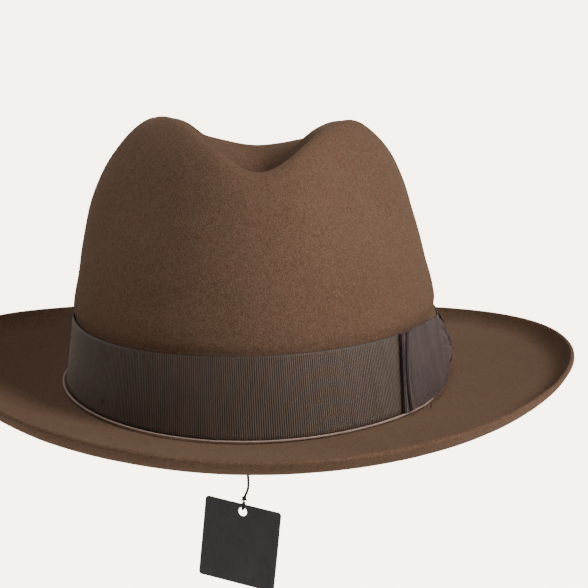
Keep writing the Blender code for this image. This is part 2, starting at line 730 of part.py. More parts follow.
def cord_and_tag():
    """The cord's fixed loop, its top knot, the hanging cord, and the tag on its own loop."""
    up, back = Vector((0, 0, 1)), Vector((0, 1, 0))
    loop_centre = Vector((CORD_X, rear_y(CORD_X) - REAR_LOOP_FAT - 0.1 * MM, REAR_BOW_Z))
    reach = REAR_RIBBON_H / 2 + CORD_R + LOOP_CLEAR
    tube("cord_loop", loop_points(loop_centre, up, back, reach, LOOP_HALF), CORD_R, CORD,
         cyclic=True)

    pivot = loop_centre - up * (reach + CORD_R + KNOT_CLEAR + KNOT_R)
    ball("cord_top_knot", pivot, (KNOT_R, KNOT_R, KNOT_R), CORD)

    frame = tag_frame()
    card_up, card_out = frame @ Vector((0, 1, 0)), frame @ Vector((0, 0, 1))
    margin = HOLE_DROP - HOLE_R
    ring_centre = HOLE_AT + card_up * (HOLE_R + margin / 2)
    ring_half = margin / 2 + CORD_R + LOOP_CLEAR + 0.05 * MM
    ring = tube("tag_loop", loop_points(ring_centre, card_up, card_out, ring_half, LOOP_HALF),
                TAG_LOOP_R, CORD, cyclic=True)
    knot_at = ring_centre + card_up * (ring_half + TAG_LOOP_R + KNOT_CLEAR + TAG_KNOT[2])
    knot = ball("tag_knot", knot_at, TAG_KNOT, CORD)
    card = hang_tag()

    # The cord's own slight wave, through points measured from the opening's centre.
    start = pivot - up * (KNOT_R + CORD_START)
    end = knot_at + Vector((0.5 * MM, 0, TAG_KNOT[2] + KNOT_CLEAR))
    wave = ((-9.9, 90.4, -22), (-8.5, 90.5, -40), (-7.3, 90.5, -57), (-6.6, 90.4, -70),
            (-6.7, 90.3, -76.5))
    route = [start, start - up * 6 * MM] + [Vector(p) * MM for p in wave] + [end]
    line = tube("hang_cord", smooth_path(route, 32), CORD_R, CORD, resolution=2)

    swing = empty("cord_swing_axis", pivot)
    twist = empty("tag_twist_axis", knot_at)
    for ob in (line, knot):
        hang_from(ob, swing)
    for ob in (ring, card):
        hang_from(ob, twist)


felt_body()
outer_trim()
sweatband()
lining()
rear_bow()
cord_and_tag()
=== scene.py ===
import math

import bmesh
import bpy
import numpy as np
from mathutils import Euler, Matrix, Vector
from numpy import cos, exp, sin


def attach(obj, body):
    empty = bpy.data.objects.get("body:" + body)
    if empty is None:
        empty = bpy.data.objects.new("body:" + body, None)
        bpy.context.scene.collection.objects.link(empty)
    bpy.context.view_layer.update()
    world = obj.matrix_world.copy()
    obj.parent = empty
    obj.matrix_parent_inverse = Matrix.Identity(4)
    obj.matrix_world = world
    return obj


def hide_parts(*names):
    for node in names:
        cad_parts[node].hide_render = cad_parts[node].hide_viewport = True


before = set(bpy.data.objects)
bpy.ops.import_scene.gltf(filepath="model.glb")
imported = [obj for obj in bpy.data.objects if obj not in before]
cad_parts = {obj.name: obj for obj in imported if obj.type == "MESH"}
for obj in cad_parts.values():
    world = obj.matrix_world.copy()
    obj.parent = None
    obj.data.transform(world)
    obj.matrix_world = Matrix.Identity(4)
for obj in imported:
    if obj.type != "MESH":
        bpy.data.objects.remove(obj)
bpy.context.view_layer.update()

MM = 0.001
PI = math.pi

# The hat's form, the same rules as the CAD model's.
CROWN_A, CROWN_B, CROWN_H = 84.5 * MM, 101.5 * MM, 133.7 * MM
CROWN_TAPER, CROWN_SHOULDER, CROWN_ROUND = 0.210, 4.740, 2.623
CROWN_LEAN = -0.017
FELT_T = 2.2 * MM
DENT_DEPTH, DENT_WIDTH, DENT_X = 45.7 * MM, 18.6 * MM, 3.8 * MM
DENT_FROM, DENT_FULL = 50.0 * MM, 10.0 * MM
DENT_FRONT, DENT_FRONT_SOFT = -60.7 * MM, 4.85 * MM
DENT_FRONT_CURVE, DENT_CURVE_X = 12.5 * MM, 20.0 * MM
DENT_BACK, DENT_BACK_SOFT = 51.1 * MM, 8.95 * MM
DENT_ROUND, DENT_POWER = 0.588, 1.387
BACK_DROP, DROP_FROM, DROP_LEVEL_Y = 0.101, 40.0 * MM, -40.0 * MM
PINCH_DEPTH, PINCH_R = 5.7 * MM, 26.0 * MM
PINCH_PUSH = 0.7 * PINCH_DEPTH       # its part along each of X and Y
PINCH_AT = (50.0 * MM, -62.0 * MM, 96.0 * MM)
SWELL, SWELL_X, SWELL_Z, SWELL_H = 2.5 * MM, 40.0 * MM, 111.7 * MM, 22.5 * MM
JOIN_RISE, JOIN_SKEW, JOIN_FADE, JOIN_POWER = 3.6 * MM, -1.0 * MM, 32.0 * MM, 1.5
BRIM_A, BRIM_B = 139.2 * MM, 153.9 * MM
BRIM_CURVE = 1.6                     # above 1, the brim's rise starts slowly
RIM_FRONT, RIM_BACK, RIM_SIDE, RIM_SKEW = 8.1 * MM, 2.6 * MM, 13.4 * MM, -4.9 * MM
LIP_R = 11.5 * MM
LIP_TURN = math.radians(62)
CORNER_R = 1.4 * MM

# Trim. Places round the hat are degrees from the front towards the wearer's left.
GAP = 0.3 * MM
BAND_T = 0.5 * MM
BAND_LOW, BAND_HIGH = 1.0 * MM, 35.0 * MM
BAND_DIP, BAND_DIP_AT, BAND_DIP_WIDE = 4.6 * MM, 92.0, 20.0
BAND_SEAM_AT, BAND_SEAM_GAP = 85.0, 0.06
RIB_PITCH, RIB_DEPTH, RIB_POINTS = 0.94 * MM, 0.24 * MM, 4
PIPING_R, PIPING_UP, PIPING_OUT = 0.46 * MM, 1.05 * MM, 0.75 * MM
PIPING_ENDS, PIPING_TUCKED = (112.0, 360.0 + 61.0), 7.0
BOW_T = 0.3 * MM
KNOT_AT = 86.0
BOW_UNDER_ENDS, UNDER_BASE, UNDER_FOLD = (46.2, 124.0), 1.3 * MM, 0.95 * MM
BOW_OVER_ENDS, OVER_STEP, OVER_FOLD, OVER_PUFF = (47.6, 121.5), 0.5 * MM, 0.62 * MM, 0.9 * MM
UNDER_LEAN, OVER_LEAN, OVER_BEND = 3.4, 3.2, 0.8       # of the front folds, in degrees
# A loop's edges in mm and in shares of the way from the knot to the front fold: low edge at the
# knot, its fall, where the fall starts, over how much; top edge at the knot and at the fold, how
# much lower the rear half is, how soon the top edge opens, and how sharply.
UNDER_EDGES = (8.0, 6.1, 0.06, 0.30, 21.0, 35.2, 10.0, 0.27, 2.0)
OVER_EDGES = (12.0, 9.6, 0.26, 0.38, 18.5, 35.6, 10.5, 0.28, 2.0)
WRAP_Z, WRAP_HALF, WRAP_WIDTH, WRAP_T = 14.4 * MM, 7.8 * MM, 9.5 * MM, 0.5 * MM
WRAP_OUT, WRAP_TUCK, WRAP_RIBS = 4.3 * MM, 2.5 * MM, 21
TACK_AT, TACK_UP, TACK_LONG = -51.0, 8.2 * MM, 2.6 * MM
LOOSE_AT, LOOSE_OUT, LOOSE_UP, LOOSE_LONG = 52.6, 6.4 * MM, 1.95 * MM, 2.7 * MM

# Inside.
SWEAT_T, SWEAT_HIGH, SWEAT_LEAN = 0.9 * MM, 46.0 * MM, 2.8 * MM
REED_R = 0.8 * MM
LINING_T, LINING_GAP, LINING_LOW = 0.4 * MM, 1.0 * MM, 32.0 * MM
LINING_SEAM_Z, LINING_SEAM_GAP = 103.0 * MM, 2.6 * MM
# Straps on the sweatband: first and last degree round, low and high edge in mm.
REAR_TAPE = (176.5, 183.5, 5.2, 44.5)
LABEL = (150.0, 165.0, 20.0, 31.0)

# Rear bow, cord and tag.
REAR_Y, REAR_Z, REAR_H = 93.3 * MM, 2.6 * MM, 6.0 * MM
REAR_OPEN, REAR_CURVE, REAR_REACH = 1.9 * MM, 2.2 * MM, 16.0 * MM
CORD_R = 0.55 * MM
CORD_X = -11.0 * MM
HOLE_AT = Vector((-9.7, 90.4, -88.6)) * MM
TAG_W, TAG_H, TAG_T, TAG_CORNER = 41.0 * MM, 41.5 * MM, 0.7 * MM, 1.6 * MM
CARD_EASE = 0.12 * MM
HOLE_R, HOLE_DROP = 2.3 * MM, 3.9 * MM
TAG_YAW, TAG_LEAN = math.radians(-25.0), math.radians(7.7)


# ---------------- camera, floor and light

CAM_EL, CAM_ROLL = math.radians(14.26), math.radians(-1.9)
CAM_FAR = 1.100
CAM_LENS = 150.14
AIM_RIGHT, AIM_UP = math.radians(0.833), math.radians(2.045)


def new_object(name, data):
    ob = bpy.data.objects.new(name, data)
    bpy.context.scene.collection.objects.link(ob)
    return ob


def make_camera():
    """In front of the hat and above it, rolled and aimed a little aside."""
    data = bpy.data.cameras.new("studio_camera")
    data.sensor_width = 36.0
    data.lens = CAM_LENS
    data.clip_end = 100.0
    cam = new_object("studio_camera", data)
    back = Vector((0, -math.cos(CAM_EL), math.sin(CAM_EL)))
    right = Vector((1, 0, 0))
    up = back.cross(right)
    rolled_right = right * math.cos(CAM_ROLL) + up * math.sin(CAM_ROLL)
    rolled_up = up * math.cos(CAM_ROLL) - right * math.sin(CAM_ROLL)
    axes = Matrix((rolled_right, rolled_up, back)).transposed()
    axes = axes @ Matrix.Rotation(-AIM_RIGHT, 3, "Y") @ Matrix.Rotation(AIM_UP, 3, "X")
    cam.matrix_world = Matrix.Translation(back * CAM_FAR) @ axes.to_4x4()
    bpy.context.scene.camera = cam


def area_light(name, place, look_at, size, power, color):
    """A soft round light."""
    data = bpy.data.lights.new(name, "AREA")
    data.shape = "DISK"
    data.size = size
    data.energy = power
    data.color = color
    ob = new_object(name, data)
    ob.location = place
    ob.rotation_euler = (Vector(look_at) - Vector(place)).to_track_quat("-Z", "Y").to_euler()


make_camera()
area_light("key", (2.0, -1.30, 1.65), (0, 0, 0.05), 1.0, 80, (1.0, 0.965, 0.93))
area_light("side", (2.1, -0.2, 0.40), (0, 0, 0.03), 0.9, 10, (1.0, 0.97, 0.94))
area_light("edge", (-1.9, 1.0, 0.60), (0, 0, 0.05), 0.9, 9, (1.0, 0.97, 0.94))
area_light("crest", (0.0, -1.0, 2.3), (0, 0, 0.10), 0.8, 20, (1.0, 0.97, 0.95))
area_light("fill", (-1.6, -1.6, 0.20), (0, 0, 0.05), 1.4, 4.0, (1.0, 0.97, 0.95))

# The floor and world as the camera sees them, and as they light the hat.
PALE, SEEN_FLOOR, SEEN_WORLD = (0.97, 0.83, 0.70), 6.4, 7.3
BOUNCE = (0.96, 0.93, 0.90)
WORLD_TINT, WORLD_STRENGTH = (0.98, 0.97, 0.96), 0.22
FLOOR_Z = -0.30


# ---------------- materials

class Look:
    """A Principled material and short ways to add the nodes that drive it."""

    def __init__(self, name, rough, **sockets):
        self.mat = bpy.data.materials.new(name)
        self.mat.use_nodes = True
        self.tree = self.mat.node_tree
        self.shader = self.tree.nodes["Principled BSDF"]
        self.set("Roughness", rough)
        for key, value in sockets.items():
            self.set(key.replace("_", " "), value)
        self.coords = self.tree.nodes.new("ShaderNodeTexCoord").outputs["Object"]

    def feed(self, socket, value):
        """Link a node's output to the socket, or set its value; a colour gets an alpha of 1."""
        if isinstance(value, bpy.types.NodeSocket):
            self.tree.links.new(value, socket)
        elif socket.type == "RGBA":
            socket.default_value = (*value, 1.0)
        else:
            socket.default_value = value

    def set(self, key, value):
        self.feed(self.shader.inputs[key], value)

    def put(self, node, key, value):
        self.feed(node.inputs[key], value)

    def stretched(self, stretch):
        node = self.tree.nodes.new("ShaderNodeMapping")
        self.put(node, "Vector", self.coords)
        self.put(node, "Scale", stretch)
        return node.outputs["Vector"]

    def noise(self, scale, stretch=(1, 1, 1), detail=3.0, rough=0.55, warp=0.0):
        node = self.tree.nodes.new("ShaderNodeTexNoise")
        self.put(node, "Vector", self.stretched(stretch))
        self.put(node, "Scale", scale)
        self.put(node, "Detail", detail)
        self.put(node, "Roughness", rough)
        self.put(node, "Distortion", warp)
        return node.outputs["Fac"]

    def cells(self, scale):
        node = self.tree.nodes.new("ShaderNodeTexVoronoi")
        self.put(node, "Vector", self.coords)
        self.put(node, "Scale", scale)
        return node.outputs["Distance"]

    def ramp(self, fac, stops):
        node = self.tree.nodes.new("ShaderNodeValToRGB")
        self.put(node, "Fac", fac)
        bar = node.color_ramp.elements
        while len(bar) < len(stops):
            bar.new(0.5)
        for spot, (at, color) in zip(bar, stops):
            spot.position = at
            color = (color,) * 3 if isinstance(color, (int, float)) else color
            spot.color = (*color, 1.0)
        return node.outputs["Color"]

    def mix(self, fac, a, b, kind="MIX"):
        node = self.tree.nodes.new("ShaderNodeMix")
        node.data_type = "RGBA"
        node.blend_type = kind
        self.put(node, "Factor", fac)
        for key, value in (("A", a), ("B", b)):
            self.feed(next(s for s in node.inputs if s.name == key and s.type == "RGBA"), value)
        return next(s for s in node.outputs if s.type == "RGBA")

    def shade(self, share, base, fac, stops):
        """The base multiplied, by that share, by a ramp of fac."""
        return self.mix(share, base, self.ramp(fac, stops), "MULTIPLY")

    def math(self, kind, a, b):
        node = self.tree.nodes.new("ShaderNodeMath")
        node.operation = kind
        for i, value in enumerate((a, b)):
            self.put(node, i, value)
        return node.outputs[0]

    def finished(self, base, grain, rough, height, distance, strength):
        """The material with its colour, its roughness from low to high grain, and its bump."""
        self.set("Base Color", base)
        self.set("Roughness", self.ramp(grain, [(0.3, rough[0]), (0.7, rough[1])]))
        node = self.tree.nodes.new("ShaderNodeBump")
        self.put(node, "Height", height)
        self.put(node, "Distance", distance)
        self.put(node, "Strength", strength)
        self.set("Normal", node.outputs["Normal"])
        return self.mat


def felt_look():
    """Brushed fur felt: fine fibres laid up and down, faint blurred patches, and a soft nap."""
    look = Look("felt_brown", 0.95, Sheen_Weight=0.08, Sheen_Roughness=0.45,
                Sheen_Tint=(1.0, 0.78, 0.60), Specular_IOR_Level=0.03)
    fibres = look.noise(1.0, (2300, 2300, 1100), detail=3.0, rough=0.6, warp=0.2)
    flecks = look.noise(2300.0, detail=2.0, rough=0.5)
    patches = look.noise(34.0, (1, 1, 0.7), detail=3.0, rough=0.5)
    tones = look.noise(150.0, (1, 1, 0.5), detail=3.0)
    mottle = look.noise(560.0, (1, 1, 0.7), detail=2.0)
    base = look.ramp(fibres, [(0.32, (0.083, 0.048, 0.031)), (0.50, (0.117, 0.070, 0.047)),
                              (0.68, (0.156, 0.097, 0.067))])
    base = look.mix(look.ramp(flecks, [(0.52, 0.0), (0.78, 0.6)]), base, (0.225, 0.150, 0.108))
    base = look.shade(0.6, base, patches, [(0.3, (0.88, 0.86, 0.84)), (0.7, (1, 1, 1))])
    base = look.shade(0.5, base, tones, [(0.3, (1.0, 0.91, 0.88)), (0.7, (0.93, 1.0, 0.94))])
    base = look.shade(0.7, base, mottle, [(0.36, (0.84, 0.85, 0.84)), (0.64, (1.03, 1.0, 1.0))])
    height = look.math("ADD", fibres, look.math("MULTIPLY", flecks, 0.6))
    return look.finished(base, fibres, (0.98, 0.84), height, 0.00014, 0.7)


def ribbon_look(name, dark, light, ribbed=True, cloud_tone_and_shade=0.88):
    """Grosgrain: the ribs are modelled, and the rib marks paint shade into the grooves between them; the
    nodes also give threads, dye streaks and darker random clouds.
    """
    look = Look(name, 0.5, Sheen_Weight=0.25, Sheen_Roughness=0.35,
                Sheen_Tint=(0.92, 0.84, 0.80), Specular_IOR_Level=0.35)
    threads = look.noise(1.0, (2600, 2600, 900), detail=2.0)
    streaks = look.noise(1.0, (300, 300, 9), detail=2.0, rough=0.5)
    clouds = look.noise(28.0, (1, 1, 0.6), detail=2.0)
    base = look.ramp(streaks, [(0.28, dark), (0.72, light)])
    if ribbed:
        # The rib marks darken the grooves between the ribs: painted shade.
        mark = look.tree.nodes.new("ShaderNodeAttribute")
        mark.attribute_name = "rib"
        base = look.shade(1.0, base, mark.outputs["Fac"], [(0.36, 0.07), (0.92, 1.0)])
    base = look.shade(0.5, base, threads, [(0.3, 0.72), (0.7, 1.0)])
    # Darker random clouds: a tone of the ribbon, and on the bow painted shade as well.
    base = look.shade(0.8, base, clouds, [(0.35, (cloud_tone_and_shade, cloud_tone_and_shade * 1.02, cloud_tone_and_shade)), (0.65, (1.0, 0.96, 0.95))])
    return look.finished(base, threads, (0.62, 0.44), threads, 0.00006, 0.7)


def leather_look(name, dark, light):
    """Sweatband leather: fine pebbled grain, faint creases and darkened pores."""
    look = Look(name, 0.45, Specular_IOR_Level=0.42, Coat_Weight=0.08, Coat_Roughness=0.35)
    pebbles = look.cells(1450.0)
    creases = look.noise(210.0, (1, 1, 1.8), detail=4.0, rough=0.6, warp=0.6)
    stains = look.noise(22.0, detail=3.0)
    base = look.ramp(stains, [(0.3, dark), (0.7, light)])
    base = look.shade(0.6, base, pebbles, [(0.05, 1.0), (0.55, 0.72)])
    pores = look.math("MULTIPLY", pebbles, 0.7)
    height = look.math("SUBTRACT", look.math("MULTIPLY", creases, 0.8), pores)
    return look.finished(base, creases, (0.58, 0.38), height, 0.00016, 0.8)


def satin_look():
    """Lining satin: a smooth sheen broken by the weave's long floats."""
    look = Look("lining_satin", 0.3, Sheen_Weight=0.3, Sheen_Roughness=0.3,
                Sheen_Tint=(1.0, 0.93, 0.84), Specular_IOR_Level=0.5, Anisotropic=0.5)
    floats = look.noise(1.0, (2400, 2400, 260), detail=2.0)
    clouds = look.noise(30.0, detail=2.0)
    base = look.ramp(clouds, [(0.3, (0.30, 0.225, 0.155)), (0.7, (0.40, 0.31, 0.22))])
    base = look.shade(0.5, base, floats, [(0.3, 0.8), (0.7, 1.0)])
    return look.finished(base, floats, (0.42, 0.26), floats, 0.00005, 0.6)


def thread_look(name, dark, light, scale=1600.0):
    """Twisted thread or cord: the strands are modelled, so the nodes give the fuzz."""
    look = Look(name, 0.75, Sheen_Weight=0.2, Sheen_Roughness=0.5, Specular_IOR_Level=0.25)
    fuzz = look.noise(scale, detail=3.0, rough=0.65)
    base = look.ramp(fuzz, [(0.3, dark), (0.7, light)])
    return look.finished(base, fuzz, (0.9, 0.65), fuzz, 0.00008, 0.8)


def card_look(name, dark, light, rough):
    """Uncoated card: pressed fibres, a faint tooth and a few scuffs."""
    look = Look(name, rough, Specular_IOR_Level=0.3)
    tooth = look.noise(1300.0, detail=4.0, rough=0.6)
    fibres = look.noise(1.0, (260, 260, 90), detail=4.0, warp=1.5)
    scuffs = look.noise(60.0, detail=5.0, rough=0.7)
    base = look.ramp(fibres, [(0.3, dark), (0.7, light)])
    scuffed = tuple(min(1, 1.7 * c) for c in light)
    base = look.mix(look.ramp(scuffs, [(0.60, 0.0), (0.75, 0.10)]), base, scuffed)
    base = look.shade(0.35, base, tooth, [(0.3, 0.75), (0.7, 1.0)])
    return look.finished(base, scuffs, (rough + 0.08, rough - 0.1), tooth, 0.00005, 0.7)


FELT = felt_look()
GROSGRAIN = ribbon_look("grosgrain_dark", (0.118, 0.079, 0.056), (0.148, 0.102, 0.074))
# On the bow the random clouds darken much deeper: painted shade for its hollowed face, laid at random.
BOW_GROSGRAIN = ribbon_look("grosgrain_bow", (0.084, 0.053, 0.052), (0.160, 0.105, 0.101), cloud_tone_and_shade=0.56)
REAR_RIBBON = ribbon_look("grosgrain_brown", (0.050, 0.033, 0.024), (0.085, 0.058, 0.042), ribbed=False)
PIPING = thread_look("piping_taupe", (0.22, 0.14, 0.12), (0.37, 0.26, 0.22), 1100.0)
LEATHER = leather_look("sweatband_leather", (0.115, 0.058, 0.032), (0.185, 0.100, 0.058))
REED = ribbon_look("reed_tape", (0.070, 0.045, 0.032), (0.115, 0.078, 0.056), ribbed=False)
SATIN = satin_look()
THREAD = thread_look("thread_dark", (0.018, 0.015, 0.014), (0.040, 0.034, 0.031))
PALE_THREAD = thread_look("thread_tan", (0.26, 0.17, 0.10), (0.40, 0.28, 0.18))
CORD = thread_look("tag_cord", (0.018, 0.017, 0.017), (0.045, 0.042, 0.041), 2200.0)
CARD = card_look("tag_card", (0.050, 0.049, 0.049), (0.060, 0.058, 0.057), 0.72)
PAPER = card_look("label_paper", (0.52, 0.48, 0.41), (0.66, 0.62, 0.54), 0.85)


def light_path_mix(tree, seen, unseen):
    """Mix two shaders: one for what the camera sees directly, one for every other ray."""
    path = tree.nodes.new("ShaderNodeLightPath")
    mixer = tree.nodes.new("ShaderNodeMixShader")
    tree.links.new(path.outputs["Is Camera Ray"], mixer.inputs[0])
    tree.links.new(unseen, mixer.inputs[1])
    tree.links.new(seen, mixer.inputs[2])
    return mixer.outputs[0]


def studio():
    """A pale floor that is see-through from below, and an even off-white world."""
    floor = bpy.data.materials.new("studio_floor")
    floor.use_nodes = True
    tree = floor.node_tree
    shader = tree.nodes["Principled BSDF"]
    shader.inputs["Base Color"].default_value = (*BOUNCE, 1.0)
    shader.inputs["Roughness"].default_value = 0.9
    glow = tree.nodes.new("ShaderNodeEmission")
    glow.inputs["Color"].default_value = (*PALE, 1.0)
    glow.inputs["Strength"].default_value = SEEN_FLOOR
    both = tree.nodes.new("ShaderNodeAddShader")
    tree.links.new(glow.outputs[0], both.inputs[0])
    tree.links.new(shader.outputs[0], both.inputs[1])
    front = light_path_mix(tree, both.outputs[0], shader.outputs[0])
    clear = tree.nodes.new("ShaderNodeBsdfTransparent")
    side = tree.nodes.new("ShaderNodeNewGeometry")
    sided = tree.nodes.new("ShaderNodeMixShader")
    tree.links.new(side.outputs["Backfacing"], sided.inputs[0])
    tree.links.new(front, sided.inputs[1])
    tree.links.new(clear.outputs[0], sided.inputs[2])
    tree.links.new(sided.outputs[0], tree.nodes["Material Output"].inputs["Surface"])
    mesh = bpy.data.meshes.new("studio_floor")
    bm = bmesh.new()
    bmesh.ops.create_grid(bm, x_segments=2, y_segments=2, size=20.0)
    bm.to_mesh(mesh)
    bm.free()
    mesh.materials.append(floor)
    ob = new_object("studio_floor", mesh)
    ob.location.z = FLOOR_Z

    world = bpy.data.worlds.new("studio_world")
    bpy.context.scene.world = world
    world.use_nodes = True
    tree = world.node_tree
    soft = tree.nodes["Background"]
    soft.inputs["Color"].default_value = (*WORLD_TINT, 1.0)
    soft.inputs["Strength"].default_value = WORLD_STRENGTH
    seen = tree.nodes.new("ShaderNodeBackground")
    seen.inputs["Color"].default_value = (*PALE, 1.0)
    seen.inputs["Strength"].default_value = SEEN_WORLD
    out = light_path_mix(tree, seen.outputs[0], soft.outputs[0])
    tree.links.new(out, tree.nodes["World Output"].inputs["Surface"])


studio()


# ---------------- mesh helpers

def quads(rows, cols, wrap_rows=False, wrap_cols=False):
    """Faces of a grid of points; wrapping joins its last row or column to the first."""
    r = np.arange(rows if wrap_rows else rows - 1)
    c = np.arange(cols if wrap_cols else cols - 1)
    r, c = np.meshgrid(r, c, indexing="ij")
    r2, c2 = (r + 1) % rows, (c + 1) % cols
    return np.stack([r * cols + c, r * cols + c2, r2 * cols + c2, r2 * cols + c], -1).reshape(-1, 4)


class Pile:
    """Gathers grids of points and their faces into one mesh."""

    def __init__(self):
        self.verts, self.faces, self.count, self.ribs = [], [], 0, None

    def add(self, verts, faces, ribs=None):
        """ribs marks each point from 0 in a groove to 1 on a rib's crest; the material paints shade into
        the grooves from it.
        """
        verts = np.asarray(verts, float).reshape(-1, 3)
        self.ribs = ribs
        self.verts.append(verts)
        self.faces += [[int(i) + self.count for i in face] for face in faces]
        self.count += len(verts)
        return self

    def piece(self, name, look, slot, nodes, body="hat", sharp=None):
        """Make the object, on its body and in place of its CAD nodes."""
        mesh = bpy.data.meshes.new(name)
        mesh.from_pydata(np.concatenate(self.verts).tolist(), [], self.faces)
        bm = bmesh.new()
        bm.from_mesh(mesh)
        bmesh.ops.recalc_face_normals(bm, faces=bm.faces)
        bm.to_mesh(mesh)
        bm.free()
        mesh.materials.append(look)
        mesh.shade_smooth()
        if self.ribs is not None:
            # The rib marks, from which the material paints shade into the grooves.
            mark = mesh.attributes.new("rib", "FLOAT", "POINT")
            mark.data.foreach_set("value", np.asarray(self.ribs, np.float32).ravel())
        if sharp:
            mesh.set_sharp_from_angle(angle=math.radians(sharp))
        ob = new_object(name, mesh)
        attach(ob, body)
        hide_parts(*nodes)
        return ob


def shell(outer, inner, wrap=True):
    """Closed skin between two grids of rows x columns; wrap joins the last column to the first."""
    rows, cols = outer.shape[:2]
    loop = np.concatenate([outer, inner[::-1]])
    faces = quads(2 * rows, cols, wrap_rows=True, wrap_cols=wrap).tolist()
    if not wrap:
        for c, flip in ((0, 1), (cols - 1, -1)):
            for r in range(rows - 1):
                ring = [r * cols + c, (r + 1) * cols + c,
                        (2 * rows - 2 - r) * cols + c, (2 * rows - 1 - r) * cols + c]
                faces.append(ring[::flip])
    return loop, faces


def capped(grid):
    """Closed skin of a grid whose rows are rings, with a face over the first and the last."""
    rows, cols = grid.shape[:2]
    faces = quads(rows, cols, wrap_cols=True).tolist()
    return grid, faces + [list(range(cols))[::-1], list(range((rows - 1) * cols, rows * cols))]


def normals(grid, wrap=True):
    across = (np.roll(grid, -1, 1) - np.roll(grid, 1, 1)) if wrap else np.gradient(grid, axis=1)
    n = np.cross(np.gradient(grid, axis=0), across)
    return n / np.maximum(np.linalg.norm(n, axis=2, keepdims=True), 1e-12)


def top_normals(grid):
    """Normals of a grid whose first row is a tiny ring at the top, facing up there."""
    n = normals(grid)
    n[0] = n[1].mean(0) / np.linalg.norm(n[1].mean(0))
    return -n if n[0, 0, 2] < 0 else n


def side_normals(grid):
    """Normals of rings round the hat, facing out."""
    n = normals(grid)
    return -n if n[len(grid) // 2, 0, 1] > 0 else n


def uneven(points, size, seed):
    """Smooth unevenness from -1 to 1 with features of about that size."""
    rng = np.random.default_rng(seed)
    total = np.zeros(points.shape[:-1])
    for _ in range(8):
        k = rng.normal(size=3)
        k *= 2 * PI / (size * rng.uniform(0.7, 1.7) * np.linalg.norm(k))
        total += sin(points @ k + rng.uniform(0, 2 * PI))
    return total / 4.0


def reach_along(path, closed=False):
    """Distance from the path's start to each of its points."""
    ends = np.concatenate([path, path[:1]]) if closed else path
    return np.concatenate([[0.0], np.cumsum(np.linalg.norm(np.diff(ends, axis=0), axis=1))])


def resample(path, count, closed=False):
    """The same path with count evenly spaced points."""
    reach = reach_along(path, closed)
    ends = np.concatenate([path, path[:1]]) if closed else path
    at = np.linspace(0, reach[-1], count + 1)[:-1] if closed else np.linspace(0, reach[-1], count)
    return np.stack([np.interp(at, reach, ends[:, i]) for i in range(path.shape[1])], 1)


def smooth_path(points, count):
    """Evenly spaced points on the Catmull-Rom curve through the points."""
    pts = np.array([tuple(p) for p in points], float)
    pts = np.concatenate([[2 * pts[0] - pts[1]], pts, [2 * pts[-1] - pts[-2]]])
    fine = []
    for a, b, c, d in zip(pts, pts[1:], pts[2:], pts[3:]):
        for t in np.arange(24) / 24:
            fine.append(0.5 * (2 * b + (c - a) * t + (2 * a - 5 * b + 4 * c - d) * t * t
                               + (3 * b - a - 3 * c + d) * t ** 3))
    fine.append(pts[-2])
    return resample(np.array(fine), count)


def tube(path, radius, sides=12, closed=False, lobes=0, depth=0.0, pitch=0.01, taper=0.0):
    """Swept round section; lobes, depth and pitch lay twisted strands round it."""
    path = np.asarray(path, float)
    n = len(path)
    if closed:
        tan = np.roll(path, -1, 0) - np.roll(path, 1, 0)
    else:
        tan = np.gradient(path, axis=0)
    tan /= np.linalg.norm(tan, axis=1, keepdims=True)
    side = np.cross(tan[0], (0.0, 0.0, 1.0) if abs(tan[0][2]) < 0.9 else (1.0, 0.0, 0.0))
    frames = []
    for t in tan:
        side = side - t * (side @ t)
        side /= np.linalg.norm(side)
        frames.append(side.copy())
    frames = np.array(frames)
    turn = np.zeros(n)
    reach = reach_along(path, closed)
    if closed:
        end = frames[-1] - tan[0] * (frames[-1] @ tan[0])
        slip = math.atan2(np.cross(end, frames[0]) @ tan[0], end @ frames[0])
        turn = slip * reach[:-1] / reach[-1]
        pitch = reach[-1] / max(1, round(reach[-1] / pitch))
    other = np.cross(tan, frames)
    a = 2 * PI * np.arange(sides) / sides
    spin = 2 * PI * reach[:n] / pitch if lobes else np.zeros(n)
    r = np.full((n, sides), radius)
    if lobes:
        r = r * (1 - depth + depth * np.abs(cos(lobes / 2 * (a[None] - spin[:, None]))))
    if taper:
        ends = np.minimum(np.arange(n), np.arange(n)[::-1])
        r = r * np.minimum(1.0, 0.45 + 0.55 * ends / taper)[:, None]
    ang = a[None] + turn[:, None]
    grid = (path[:, None] + r[..., None] * (cos(ang)[..., None] * frames[:, None]
                                            + sin(ang)[..., None] * other[:, None]))
    faces = quads(n, sides, wrap_rows=closed, wrap_cols=True).tolist()
    if not closed:
        faces += [list(range(sides)), list(range((n - 1) * sides, n * sides))]
    return grid, faces


# ---------------- the hat's form

def smooth(u):
    u = np.clip(u, 0.0, 1.0)
    return u * u * (3.0 - 2.0 * u)


def logistic(u):
    return 1.0 / (1.0 + exp(-np.clip(u, -60.0, 60.0)))


def crown_share(z):
    h = np.clip(np.asarray(z, float) / CROWN_H, 0.0, 1.0)
    return (1.0 - h ** CROWN_SHOULDER) ** (1.0 / CROWN_ROUND) * (1.0 - CROWN_TAPER * h)


